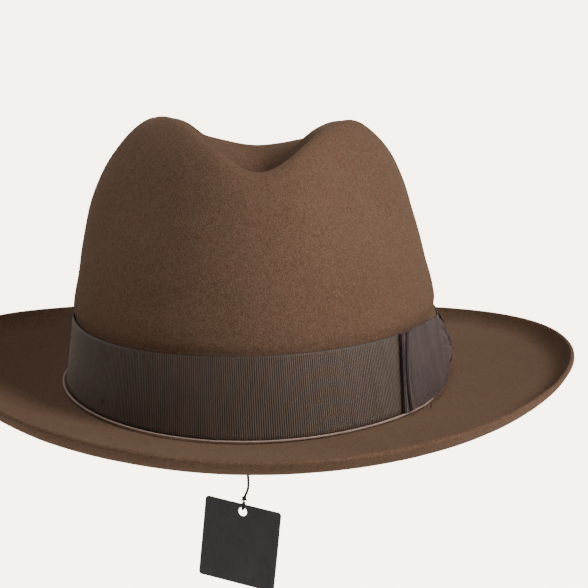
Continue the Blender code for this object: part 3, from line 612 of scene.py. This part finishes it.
def crease(x, y, z):
    """Move points of the plain crown into its dent, its two front pinches and its side swell."""
    top = smooth((z - DROP_FROM) / (CROWN_H - DROP_FROM))
    cut = smooth((z - DENT_FROM) / (CROWN_H - DENT_FULL - DENT_FROM))
    aside = x - DENT_X
    front = DENT_FRONT + DENT_FRONT_CURVE * (aside / DENT_CURVE_X) ** 2
    along = logistic((y - front) / DENT_FRONT_SOFT) * logistic((DENT_BACK - y) / DENT_BACK_SOFT)
    across = exp(DENT_ROUND ** DENT_POWER
                    - ((aside / DENT_WIDTH) ** 2 + DENT_ROUND ** 2) ** (DENT_POWER / 2))
    new_z = z - top * BACK_DROP * (y - DROP_LEVEL_Y) - along * cut * DENT_DEPTH * across
    full = SWELL * smooth(x / SWELL_X) * exp(-((z - SWELL_Z) / SWELL_H) ** 2)
    x = x + CROWN_LEAN * z + full
    for side in (-1, 1):
        px, py, pz = PINCH_AT
        near = exp(-((x - side * px) ** 2 + (y - py) ** 2 + (z - pz) ** 2) / PINCH_R ** 2)
        x = x - side * PINCH_PUSH * near
        y = y + PINCH_PUSH * near
    return np.stack([x, y, new_z], -1)


def rim_lift(angle):
    """How far the brim has risen where its lip starts."""
    front = (1 + cos(angle)) / 2
    rise = RIM_FRONT * front + RIM_BACK * (1 - front)
    rise = rise + RIM_SIDE * sin(angle) ** 2 + RIM_SKEW * sin(angle)
    return rise - LIP_R * (1 - math.cos(LIP_TURN))


def join_rise(angle):
    """How much higher the crown meets the brim at the sides than at the front and back."""
    side = sin(angle)
    return (JOIN_RISE + JOIN_SKEW * side) * side ** 2


def crown_point(angle, radius, z):
    """A point of the crown from its angle round the hat (0 at the front), turned radius, height."""
    raised = z + join_rise(angle) * (1 - smooth(z / JOIN_FADE))
    long_radius = radius * (CROWN_B / CROWN_A)
    return crease(radius * sin(angle), -long_radius * cos(angle), raised + 0 * radius)


def brim_point(angle, radius, z):
    """A point of the brim from its angle round the hat, turned radius, height off the brim."""
    out = (radius - CROWN_A) / (BRIM_A - CROWN_A)
    long_radius = CROWN_B + (BRIM_B - CROWN_B) * out
    lift = rim_lift(angle) * np.maximum(out, 0.0) ** BRIM_CURVE
    lift = lift + join_rise(angle) * (1 - np.clip(out, 0.0, 1.0)) ** JOIN_POWER
    return np.stack([radius * sin(angle), -long_radius * cos(angle), z + lift], -1)


def wall(z):
    """The crown's turned radius at that height."""
    return CROWN_A * crown_share(z)


def on_wall(angle, z, out=0.0):
    return crown_point(angle, wall(z) + out, z)


def even_angles(count, first=0.0, sweep=2 * PI, closed=True):
    """Angles round the hat spaced evenly along the crown's oval."""
    dense = np.linspace(0, sweep, 4001) + first
    line = np.stack([CROWN_A * sin(dense), -CROWN_B * cos(dense)], 1)
    reach = reach_along(line)
    at = np.linspace(0, reach[-1], count + 1)[:-1] if closed else np.linspace(0, reach[-1], count)
    return np.interp(at, reach, dense), reach[-1]


def crown_profile(count):
    """The crown's (radius, z) from near its top down to the corner."""
    t = np.linspace(0.004, 1.0, count)
    rise = sin(PI / 2 * (1 - t)) ** (2 / CROWN_SHOULDER)
    z = CORNER_R + (CROWN_H - CORNER_R) * rise
    return np.stack([wall(z), z], 1)


def turned(point, angle, line):
    """Rings of points: a line of (radius, z) taken round the hat by the point rule."""
    return point(angle[None], line[:, :1] + 0 * angle, line[:, 1:] + 0 * angle)


# ---------------- felt

SEGMENTS = 300
BULGE, PRESSED = 0.8 * MM, 0.5 * MM        # the felt swells above the tight band that presses it
BRIM_FREE = 1.08                           # share of the crown's radius where the brim is free


def felt_grid():
    """Rings from near the crown's top, down to the corner, out along the brim and up the lip."""
    angle = 2 * PI * np.arange(SEGMENTS) / SEGMENTS
    a = np.linspace(PI / 2, 0, 12)[1:]
    corner = np.stack([CROWN_A + CORNER_R * (1 - sin(a)), CORNER_R * (1 - cos(a))], 1)
    edge_turn = LIP_TURN - FELT_T / 2 / LIP_R
    flat_end = BRIM_A - LIP_R * math.sin(LIP_TURN)
    flat = np.stack([np.linspace(corner[-1, 0], flat_end, 60)[1:], np.zeros(59)], 1)
    a = np.linspace(0, edge_turn, 30)[1:]
    lip = np.stack([flat_end + LIP_R * sin(a), LIP_R * (1 - cos(a))], 1)
    brim = np.concatenate([corner, resample(flat, 28), resample(lip, 14)])
    return np.concatenate([turned(crown_point, angle, resample(crown_profile(400), 120)),
                           turned(brim_point, angle, brim)])


def felt_body():
    """One shell of felt with a rounded raw edge, a little uneven the way hand-blocked felt is."""
    outer = felt_grid()
    n = top_normals(outer)
    height = outer[..., 2]
    away = np.linalg.norm(outer[..., :2] / (CROWN_A, CROWN_B), axis=2)
    free = np.where(away > BRIM_FREE, smooth((away - BRIM_FREE) / 0.2),
                    smooth((height - 38 * MM) / (14 * MM)))
    calm = 1 - 0.8 * smooth((away - 1.1) / 0.2)
    dents = calm * (0.40 * MM * uneven(outer, 48 * MM, 3) + 0.16 * MM * uneven(outer, 21 * MM, 5))
    above = height - BAND_HIGH
    rise = BULGE * smooth((above + 1 * MM) / (5 * MM)) * (1 - smooth((above - 7 * MM) / (16 * MM)))
    rise = rise - PRESSED * exp(-(above / (2.2 * MM)) ** 2)
    outer = outer + n * (free * dents + rise * (away < 1.05))[..., None]
    n = top_normals(outer)
    inner = outer - n * FELT_T
    along = outer[-1] - outer[-2]
    along /= np.linalg.norm(along, axis=1, keepdims=True)
    middle = (outer[-1] + inner[-1]) / 2
    edge = np.stack([middle + FELT_T / 2 * (math.cos(a) * n[-1] + 0.9 * math.sin(a) * along)
                     for a in np.linspace(0, PI, 9)[1:-1]])
    rows = np.concatenate([outer, edge, inner[::-1]])
    Pile().add(*capped(rows)).piece("felt_hat_body", FELT, "felt", ["felt_body"], sharp=60)


# ---------------- band and piping

def rib_wave(count):
    """Rounded ribs with narrow grooves between them, RIB_POINTS points to a rib."""
    phase = 2 * PI * np.arange(count * RIB_POINTS) / RIB_POINTS + PI / RIB_POINTS
    return np.sqrt(0.5 + 0.5 * cos(phase))


def hatband():
    """The ribbon round the crown; its ends meet under the bow's knot."""
    gap = math.radians(BAND_SEAM_GAP)
    first, sweep = math.radians(BAND_SEAM_AT) + gap, 2 * PI - 2 * gap
    _, reach = even_angles(8, first, sweep)
    ribs = round(reach / RIB_PITCH)
    angle, _ = even_angles(ribs * RIB_POINTS, first, sweep, closed=False)
    v = np.array([0.0, 0.006, 0.02, 0.06, 0.16, 0.3, 0.45, 0.6, 0.75, 0.88, 0.96, 0.985, 1.0])[:, None]
    wave = 0.22 * MM * sin(3 * angle + 0.6) * v ** 2
    wave = wave - BAND_DIP * exp(-((np.degrees(angle) % 360 - BAND_DIP_AT) / BAND_DIP_WIDE) ** 2) * v
    z = BAND_LOW + (BAND_HIGH - BAND_LOW) * v + wave
    edge = smooth(np.minimum(v, 1 - v) / 0.02)
    ribbing = RIB_DEPTH * rib_wave(ribs) * (0.35 + 0.65 * edge)
    stand = 0.12 * MM * (0.5 + 0.5 * sin(5 * angle + 1.0)) * (1 - v)
    stand = stand + 0.25 * MM * v ** 8 * (0.6 + 0.4 * sin(7 * angle + 2.0))
    inner = on_wall(angle, z, GAP + stand)
    outer = on_wall(angle, z, GAP + stand + BAND_T - RIB_DEPTH + ribbing - 0.12 * MM * (1 - edge))
    # Rib marks for the painted shade in the grooves; near both edges they stay at 0.5, which paints a
    # darker line of shade along each edge.
    inside = smooth(np.minimum(v, 1 - v) / 0.03)
    marks = rib_wave(ribs) * inside + 0.5 * (1 - inside)
    Pile().add(*shell(outer, inner, wrap=False), np.concatenate([marks, marks[::-1]])).piece(
        "grosgrain_hatband", GROSGRAIN, "grosgrain", ["hatband"], sharp=75)


def band_piping():
    """Cord-filled piping in a bias-cut cover; its two ends are tucked away under the bow."""
    first, last = (math.radians(deg) for deg in PIPING_ENDS)
    angle, _ = even_angles(860, first, last - first, closed=False)
    tuck = 1.1 * MM * (1 - smooth(np.minimum(angle - first, last - angle) / math.radians(PIPING_TUCKED)))
    radius = CROWN_A + CORNER_R + PIPING_OUT - tuck
    path = brim_point(angle, radius, PIPING_UP + 0 * angle)
    grid = tube(path, PIPING_R, 12, lobes=6, depth=0.07, pitch=3.2 * MM, taper=4)
    Pile().add(*grid).piece("band_piping_cord", PIPING, "piping", ["band_piping"])


# ---------------- bow

ARM = 93.0 * MM                 # mean radius that turns bow degrees into lengths
THIN = 0.55 * MM                # between a bow loop's two runs, away from its folds


def fold_open(deg, ends, fold):
    """How much further apart a loop's runs are near its folded ends."""
    first, last = ends
    away = np.radians(np.minimum(np.abs(deg - first), np.abs(deg - last))) * ARM
    return (2 * fold - THIN) * exp(-(away / (4.5 * MM)) ** 1.5)


def under_top(deg):
    """Offset of the lower loop's outer run, on which the upper loop lies."""
    return UNDER_BASE + THIN + fold_open(deg, BOW_UNDER_ENDS, UNDER_FOLD)


def bow_loop(name, node, ends, base, fold, puff, form, lean, bend):
    """A flat loop of ribbon: a run on the band, a rounded fold at each end, an outer run.

    Both runs gather to the knot, where the loop is narrow and pleated. form gives its edges;
    lean and bend tilt and bow its front fold, in degrees.
    """
    first, last = ends
    there = np.linspace(first, last, 300)
    half = np.abs(there - KNOT_AT) / (KNOT_AT - first)
    behind = there > KNOT_AT
    rise = puff * np.where(behind, 0.25, 1.0) * sin(PI * np.clip(half, 0, 1) ** 0.75) ** 2
    rise = rise + 0.45 * MM * exp(-(half / 0.2) ** 2) * (puff > 0)
    low_run = base(there)
    top_run = low_run + THIN + fold_open(there, ends, fold) + rise
    flat_run = np.stack([np.radians(there) * ARM, low_run], 1)
    back_run = np.stack([np.radians(there) * ARM, top_run], 1)[::-1]
    turn = np.linspace(0, PI, 18)[1:-1]
    round_it = np.stack([fold * sin(turn), -fold * cos(turn)], 1)
    end_last = (math.radians(last) * ARM, low_run[-1] + fold)
    end_first = (math.radians(first) * ARM, low_run[0] + fold)
    path = np.concatenate([flat_run, round_it + end_last, back_run, end_first - round_it])
    ribs = round(reach_along(path, True)[-1] / RIB_PITCH)
    path = resample(path, ribs * RIB_POINTS, closed=True)
    deg = np.degrees(path[:, 0] / ARM)
    half = np.abs(deg - KNOT_AT) / (KNOT_AT - first)
    low, high = loop_edges(half, smooth((deg - KNOT_AT) / 8.0 + 0.5), form)
    v = np.linspace(0, 1, 29)[:, None]
    on_top = smooth((path[:, 1] - base(deg) - 0.3 * MM) / THIN)
    pinch = exp(-(half / 0.48) ** 2) * on_top
    fan = np.abs(cos(PI * (2.7 * v + 0.35 * half + 0.15))) ** 0.7
    pleat = 0.9 * MM * pinch * (fan - 0.5)
    dish = -0.30 * MM * on_top * smooth(half / 0.9) * sin(PI * v)
    wander = 0.30 * MM * on_top * sin(2 * PI * (1.3 * half + 0.8 * v))
    wander = wander * (1 - smooth((half - 0.7) / 0.2))
    out = path[:, 1] + np.maximum(pleat + dish + wander, -0.25 * MM)
    z = low + (high - low) * v
    toward_first = smooth((KNOT_AT - deg) / (KNOT_AT - first))
    angle = np.radians(deg + (lean * (v - 0.25) - bend * sin(PI * v)) * toward_first)
    centre = on_wall(angle, z, out)
    n = normals(centre)
    ribbing = rib_wave(ribs) * RIB_DEPTH * 0.6
    skin = (BOW_T / 2 - RIB_DEPTH * 0.4 + ribbing)[None, :, None]
    # Rib marks, from which the material paints shade into the grooves.
    marks = np.tile(rib_wave(ribs), (2 * len(v), 1))
    Pile().add(*shell(centre + n * skin, centre - n * skin), marks).piece(
        name, BOW_GROSGRAIN, "grosgrain", [node], sharp=80)


def loop_edges(half, behind, form):
    """Lower and upper edges of a bow loop, which is full at its folds and narrow at the knot."""
    low_at_knot, low_fall, fall_from, fall_over, gathered, full, rear_fall, soft, power = form
    low = low_at_knot - low_fall * smooth((half - fall_from) / fall_over)
    opened = 1 - exp(-(half / soft) ** power)
    return low * MM, (gathered + (full - rear_fall * behind - gathered) * opened) * MM


def bow_knot():
    """The short wrap round the middle of the bow, ribbed across and pleated along."""
    rows, cols = WRAP_RIBS * RIB_POINTS, 29
    v = np.linspace(0, 1, rows)[:, None]
    u = np.linspace(-0.5, 0.5, cols)[None]
    a = PI * v
    z = WRAP_Z - WRAP_HALF * cos(a)
    arch = WRAP_OUT - WRAP_TUCK * (1 - sin(a)) ** 1.8 - 0.5 * MM * cos(a) * sin(a)
    width = WRAP_WIDTH * (0.84 + 0.16 * sin(a))
    angle = math.radians(KNOT_AT) + u * width / CROWN_A
    swell = 0.6 * MM * cos(PI * u) + 0.18 * MM * cos(2 * PI * 3.5 * u) * sin(a) - 0.5 * MM
    # Rib profile, for the ribs' shape and for the shade painted into their grooves.
    marks = np.sqrt(0.5 + 0.5 * cos(2 * PI * WRAP_RIBS * v)) + 0 * u
    centre = on_wall(angle + 0 * v, z + 0 * u, arch + swell + 0.13 * MM * marks)
    n = normals(centre, wrap=False)
    if n[rows // 2, cols // 2, 0] < 0:
        n = -n
    skin = shell(centre, centre - n * WRAP_T, wrap=False)
    Pile().add(*skin, np.concatenate([marks, marks[::-1]])).piece(
        "bow_centre_wrap", BOW_GROSGRAIN, "grosgrain", ["bow_knot"], sharp=80)


def short_thread(name, place, node):
    """A loose thread; place(along) gives its points and it arches a little."""
    along = np.linspace(-0.5, 0.5, 15)
    grid = tube(place(along), 0.24 * MM, 10, lobes=4, depth=0.25, pitch=1.1 * MM, taper=3)
    Pile().add(*grid).piece(name, THREAD, "thread", [node])


def on_band(along):
    arch = 0.22 * MM * cos(PI * along)
    angle = math.radians(TACK_AT) + 0.004 * along
    return on_wall(angle, TACK_UP + TACK_LONG * along, GAP + BAND_T + 0.45 * MM + arch)


def by_the_bow(along):
    arch = 0.5 * MM * cos(PI * along)
    angle = math.radians(LOOSE_AT) + 0.005 * along
    return brim_point(angle, CROWN_A + LOOSE_OUT + arch, LOOSE_UP + LOOSE_LONG * along)


def outer_trim():
    hatband()
    band_piping()
    bow_loop("bow_lower_ribbon", "bow_under_loop", BOW_UNDER_ENDS, lambda deg: UNDER_BASE + 0 * deg,
             UNDER_FOLD, 0.0, UNDER_EDGES, UNDER_LEAN, 0.0)
    bow_loop("bow_upper_ribbon", "bow_over_loop", BOW_OVER_ENDS, lambda deg: under_top(deg) + OVER_STEP,
             OVER_FOLD, OVER_PUFF, OVER_EDGES, OVER_LEAN, OVER_BEND)
    bow_knot()
    short_thread("band_tack", on_band, "band_tack_stitch")
    short_thread("bow_loose_thread", by_the_bow, "bow_thread_end")


# ---------------- inside

def sweat_radius(z):
    """Turned radius of the sweatband's felt face; its top leans inwards."""
    return wall(z) - FELT_T - GAP - SWEAT_LEAN * (np.asarray(z) / SWEAT_HIGH) ** 1.5


def inner_strip(angle, z, depth):
    """Points inside the sweatband's felt face by depth."""
    return crown_point(angle, sweat_radius(z) - depth, z)


def sweatband():
    """The leather strap, the reed in its lower edge, its stitches, and what is sewn on it."""
    gap = math.radians(0.25)
    angle, _ = even_angles(460, PI + gap, 2 * PI - 2 * gap, closed=False)
    v = np.concatenate([[0, 0.008, 0.02], np.linspace(0.05, 0.95, 16), [0.98, 0.992, 1.0]])[:, None]
    z = 0.3 * MM + (SWEAT_HIGH - 0.3 * MM) * v + 0.5 * MM * v ** 3 * sin(4 * angle)
    edge = smooth(np.minimum(v, 1 - v) / 0.012)
    # A pressed line under the top edge and the puckers that the stitching leaves.
    line = 0.16 * MM * exp(-((v - 0.93) / 0.012) ** 2)
    pucker = 0.06 * MM * cos(angle * 190) * exp(-((v - 0.065) / 0.03) ** 2)
    wave = 0.25 * MM * v ** 2 * sin(3 * angle + 1.0)
    inner = inner_strip(angle, z, SWEAT_T - line + pucker + wave - 0.25 * MM * (1 - edge))
    outer = inner_strip(angle, z, wave + 0.2 * MM * (1 - edge))
    Pile().add(*shell(outer, inner, wrap=False)).piece(
        "sweatband_strap", LEATHER, "sweatband_leather", ["sweatband"], sharp=60)

    angle, _ = even_angles(900)
    path = crown_point(angle, CROWN_A - FELT_T - GAP - REED_R - 0.1 * MM + 0 * angle, 0 * angle)
    path[:, 2] -= REED_R + 0.1 * MM
    Pile().add(*tube(path, REED_R * 1.04, 12, closed=True, lobes=4, depth=0.06, pitch=2.0 * MM)).piece(
        "sweatband_reed_edge", REED, "reed_tape", ["sweatband_reed"])

    # A row of slanted lock stitches, each its own short thread.
    pile = Pile()
    at, _ = even_angles(190)
    for middle in at:
        s = np.linspace(-1, 1, 7)
        spot = middle + s * 1.15 * MM / CROWN_B
        up = 3.2 * MM + 0.28 * MM * s
        sink = 0.95 * MM + 0.34 * MM * cos(PI / 2 * s)
        path = inner_strip(spot, up, sink)
        pile.add(*tube(path, 0.2 * MM, 8, lobes=3, depth=0.2, pitch=1.0 * MM, taper=2))
    pile.piece("sweatband_stitches", PALE_THREAD, "thread", ["sweatband_thread"])

    strap("sweatband_rear_tape", REAR_TAPE, "sweatband_seam_tape", 4.0, LEATHER,
          "sweatband_leather", 0.45 * MM)
    strap("blank_size_label", LABEL, "size_label", 2.0, PAPER, "label_paper", 0.22 * MM)


def strap(name, place, node, round_mm, look, slot, thick):
    """A small flat piece lying on the sweatband's face, its corners rounded and edges eased."""
    first, last, low, high = place
    u = np.linspace(-1, 1, 49)
    v = np.linspace(-1, 1, 33)[:, None]
    wide = math.radians(last - first) / 2 * CROWN_B
    tall = (high - low) / 2 * MM
    trim = 1 - round_mm * MM / tall * (1 - np.sqrt(1 - np.abs(u) ** 6)) * 0.5
    z = (low + high) / 2 * MM + v * tall * trim
    angle = math.radians((first + last) / 2) + u * wide / CROWN_B + 0 * v
    edge = smooth((1 - np.maximum(np.abs(u), np.abs(v))) / 0.08)
    under = inner_strip(angle, z, SWEAT_T + 0.28 * MM)
    over = inner_strip(angle, z, SWEAT_T + 0.28 * MM + thick * (0.45 + 0.55 * edge))
    Pile().add(*shell(over, under, wrap=False)).piece(name, look, slot, [node], sharp=50)


def lining_grid(z, angle, inset):
    """Rings of the crown's wall at heights z, moved in by inset, and their normals."""
    grid = turned(crown_point, angle, np.stack([wall(z), z], 1))
    n = side_normals(grid)
    return grid - n * inset, n


def lining():
    """The side panel with its soft folds, the oval tip, and the piped seam between them."""
    inset = FELT_T + LINING_GAP
    angle = 2 * PI * np.arange(360) / 360
    z = np.linspace(LINING_SEAM_Z - LINING_SEAM_GAP, LINING_LOW, 60)
    grid, n = lining_grid(z, angle, inset)
    low = smooth((60 * MM - z) / (28 * MM))[:, None]
    high = smooth((z - 88 * MM) / (12 * MM))[:, None]
    folds = (0.30 * sin(61 * angle + 2 * sin(5 * angle)) * low
             + 0.26 * sin(83 * angle + 3 * sin(4 * angle)) * high)
    soft = 0.35 * uneven(grid, 26 * MM, 9)
    grid = grid - n * ((np.maximum(folds + soft, -0.5) + 0.2) * MM)[..., None]
    Pile().add(*shell(grid, grid - side_normals(grid) * LINING_T)).piece(
        "lining_side_panel", SATIN, "lining_satin", ["lining_side"], sharp=60)

    line = crown_profile(240)
    line = resample(line[line[:, 1] > LINING_SEAM_Z + LINING_SEAM_GAP], 44)
    grid = turned(crown_point, angle, line)
    n = top_normals(grid)
    top = grid - n * (inset + 0.3 * MM * (1 + uneven(grid, 24 * MM, 11)))[..., None]
    rows = np.concatenate([top, (top - n * LINING_T)[::-1]])
    Pile().add(*capped(rows)).piece(
        "lining_oval_tip", SATIN, "lining_satin", ["lining_tip"], sharp=60)

    seam = np.array([LINING_SEAM_Z + 0.4 * MM, LINING_SEAM_Z, LINING_SEAM_Z - 0.4 * MM])
    angle = 2 * PI * np.arange(720) / 720
    grid, _ = lining_grid(seam, angle, inset + LINING_T / 2)
    Pile().add(*tube(grid[1], 0.42 * MM, 10, closed=True, lobes=4, depth=0.1, pitch=2.4 * MM)).piece(
        "lining_piped_seam", SATIN, "lining_satin", ["lining_tip_piping"])


# ---------------- rear bow

def rear_bow_y(x):
    """The rear bow's middle line, which curves with the sweatband."""
    return REAR_Y - REAR_CURVE * (x / REAR_REACH) ** 2


def rear_bow():
    """The sweatband's little ribbon bow: two flat loops and a tight knot."""
    v = np.linspace(-0.5, 0.5, 9)[:, None]
    for name, node, side in (("rear_bow_loop_left", "rear_bow_left_loop", 1),
                             ("rear_bow_loop_right", "rear_bow_right_loop", -1)):
        a = 2 * PI * np.arange(160) / 160
        x = side * (9.6 * MM - 7.0 * MM * cos(a))
        half = REAR_OPEN * sin(a) * (0.55 + 0.45 * smooth((np.abs(x) - 3 * MM) / (8 * MM)))
        y = rear_bow_y(x) + half + 0.12 * MM * sin(PI * v)
        narrow = 1 - 0.28 * exp(-((np.abs(x) - 2.6 * MM) / (3 * MM)) ** 2)
        grid = np.stack([x + 0 * v, y, REAR_Z + REAR_H * v * narrow], -1)
        skin = normals(grid) * (0.175 * MM + 0.03 * MM * cos(40 * a))[None, :, None]
        Pile().add(*shell(grid + skin, grid - skin)).piece(
            name, REAR_RIBBON, "grosgrain", [node], sharp=70)
    u = 2 * PI * np.arange(48)[None] / 48
    t = PI * np.linspace(0.03, 0.97, 33)[:, None]
    pleat = 1 + 0.07 * cos(7 * u + 1.0) * sin(t)
    grid = np.stack([2.0 * MM * sin(t) ** 0.8 * cos(u) * pleat,
                     REAR_Y - 0.1 * MM + 1.9 * MM * sin(t) ** 0.8 * sin(u) * pleat,
                     REAR_Z + 2.7 * MM * cos(t) + 0 * u], -1)
    Pile().add(*capped(grid)).piece(
        "rear_bow_centre", REAR_RIBBON, "grosgrain", ["rear_bow_knot"])


# ---------------- cord and tag

def knotted(centre, size, thick, tilt):
    """A small pulled-tight overhand knot."""
    t = 2 * PI * np.arange(120) / 120
    x, y, z = sin(t) + 2 * sin(2 * t), cos(t) - 2 * cos(2 * t), -sin(3 * t)
    turn = np.array(Euler(tilt).to_matrix())
    path = np.stack([x, y, 1.3 * z], 1) @ turn.T * (size / 3.0) + np.array(tuple(centre))
    return tube(path, thick, 10, closed=True, lobes=2, depth=0.16, pitch=1.5 * MM)


def ring_path(centre, up, across, half_up, half_across, count):
    """An oval ring of points round the centre."""
    a = 2 * PI * np.arange(count) / count
    up, across, centre = (np.array(tuple(p)) for p in (up, across, centre))
    return centre + np.outer(half_up * cos(a), up) + np.outer(half_across * sin(a), across)


def card_bend(line):
    """How far the card stands off flat: it bows a little towards its ends."""
    return 0.35 * MM * (line[:, 1] / TAG_H + 0.4) ** 2


def card_wall(line, outward):
    """The card's cut edge along a line, its layers slightly proud or sunk."""
    high = TAG_T / 2 - CARD_EASE
    layers = [(high, 0.0), (TAG_T / 6, 0.02), (0.0, -0.03), (-TAG_T / 6, 0.02), (-high, 0.0)]
    return np.array([np.stack([*(line - outward * sunk * MM).T, z + card_bend(line)], 1)
                     for z, sunk in layers])


def hang_tag():
    """A blank card with eased corners, pressed edges and a punched hole."""
    rim = []
    for cx, cy, first in ((1, 1, 0), (-1, 1, 90), (-1, -1, 180), (1, -1, 270)):
        for k in range(10):
            a = math.radians(first + 10 * k)
            rim.append((cx * (TAG_W / 2 - TAG_CORNER) + TAG_CORNER * math.cos(a),
                        HOLE_DROP - TAG_H / 2 + cy * (TAG_H / 2 - TAG_CORNER) + TAG_CORNER * math.sin(a)))
    rim = resample(np.array(rim), 240, closed=True)
    hole_angle = np.arctan2(rim[:, 1], rim[:, 0])
    hole = np.stack([HOLE_R * cos(hole_angle), HOLE_R * sin(hole_angle)], 1)
    outward = rim / np.linalg.norm(rim, axis=1, keepdims=True)
    rows = []
    for share in np.linspace(0, 1, 14):
        flat = hole + (rim - hole) * (share ** 1.3)
        if share == 0:
            flat = hole + outward * CARD_EASE
        if share == 1:
            flat = rim - outward * CARD_EASE
        rows.append(np.stack([flat[:, 0], flat[:, 1], TAG_T / 2 + card_bend(flat)], 1))
    front = np.array(rows)
    back = front - (0, 0, TAG_T)
    loop = np.concatenate([front, card_wall(rim, outward), back[::-1], card_wall(hole, outward)[::-1]])
    upright = Euler((math.radians(90), 0, 0)).to_matrix()
    hung = Matrix.Rotation(TAG_YAW, 3, "Z") @ Matrix.Rotation(TAG_LEAN, 3, "Y") @ upright
    placed = loop @ np.array(hung).T + np.array(tuple(HOLE_AT))
    faces = quads(*loop.shape[:2], wrap_rows=True, wrap_cols=True).tolist()
    tag = Pile().add(placed, faces).piece("blank_card_tag", CARD, "tag_card", ["hang_tag"], "tag", sharp=40)
    return hung, tag


def cord_and_tag():
    """A loop of cord round the rear bow, a knot, the hanging cord, and the knotted ring of the tag."""
    centre = Vector((CORD_X, rear_bow_y(CORD_X) - REAR_OPEN - 0.1 * MM, REAR_Z))
    reach = REAR_H / 2 + CORD_R + 0.6 * MM
    twist = dict(lobes=2, depth=0.2, pitch=2.6 * MM)
    hitch = ring_path(centre, (0, 0, 1), (0, 1, 0), reach, 1.25 * MM, 150)
    Pile().add(*tube(hitch, CORD_R * 1.05, 12, closed=True, **twist)).piece(
        "cord_hitch_loop", CORD, "tag_cord", ["cord_loop"])
    pivot = Vector((CORD_X, centre.y, REAR_Z - reach - CORD_R - 0.35 * MM - 1.1 * MM))
    Pile().add(*knotted(pivot, 0.95 * MM, 0.42 * MM, (0.4, 0.3, 0.2))).piece(
        "cord_upper_knot", CORD, "tag_cord", ["cord_top_knot"], "cord_hitch")

    hung, tag = hang_tag()
    card_up, card_out = hung @ Vector((0, 1, 0)), hung @ Vector((0, 0, 1))
    margin = HOLE_DROP - HOLE_R
    ring_centre = HOLE_AT + card_up * (HOLE_R + margin / 2)
    ring_half = margin / 2 + CORD_R + 0.65 * MM
    ring = ring_path(ring_centre, card_up, card_out, ring_half, 1.15 * MM, 120)
    ring = Pile().add(*tube(ring, 0.52 * MM, 12, closed=True, **twist)).piece(
        "tag_cord_loop", CORD, "tag_cord", ["tag_loop"], "tag")
    knot_at = ring_centre + card_up * (ring_half + 1.85 * MM)
    knot = Pile().add(*knotted(knot_at, 0.80 * MM, 0.58 * MM, (1.3, 0.3, 0.4)))
    for lean in (-1, 1):
        stub = smooth_path([knot_at, knot_at + Vector((lean * 0.9, -0.9, -0.3)) * MM,
                            knot_at + Vector((lean * 1.3, -1.9, -0.9)) * MM], 16)
        knot.add(*tube(stub, 0.36 * MM, 10, taper=2, lobes=2, depth=0.2, pitch=1.6 * MM))
    knot = knot.piece("cord_lower_knot", CORD, "tag_cord", ["tag_knot"], "cord")

    start = pivot - Vector((0, 0, 1.4 * MM))
    end = knot_at + Vector((0.3 * MM, 0, 0.7 * MM))
    route = [start, start - Vector((0, 0, 6 * MM)), Vector((-9.9, 90.4, -22)) * MM,
             Vector((-8.5, 90.5, -40)) * MM, Vector((-7.3, 90.5, -57)) * MM,
             Vector((-6.6, 90.4, -70)) * MM, Vector((-6.7, 90.3, -76.5)) * MM, end]
    path = smooth_path(route, 260)
    line = Pile().add(*tube(path, CORD_R * 1.22, 14, **twist)).piece(
        "hanging_cord", CORD, "tag_cord", ["hang_cord"], "cord")


felt_body()
outer_trim()
sweatband()
lining()
rear_bow()
cord_and_tag()
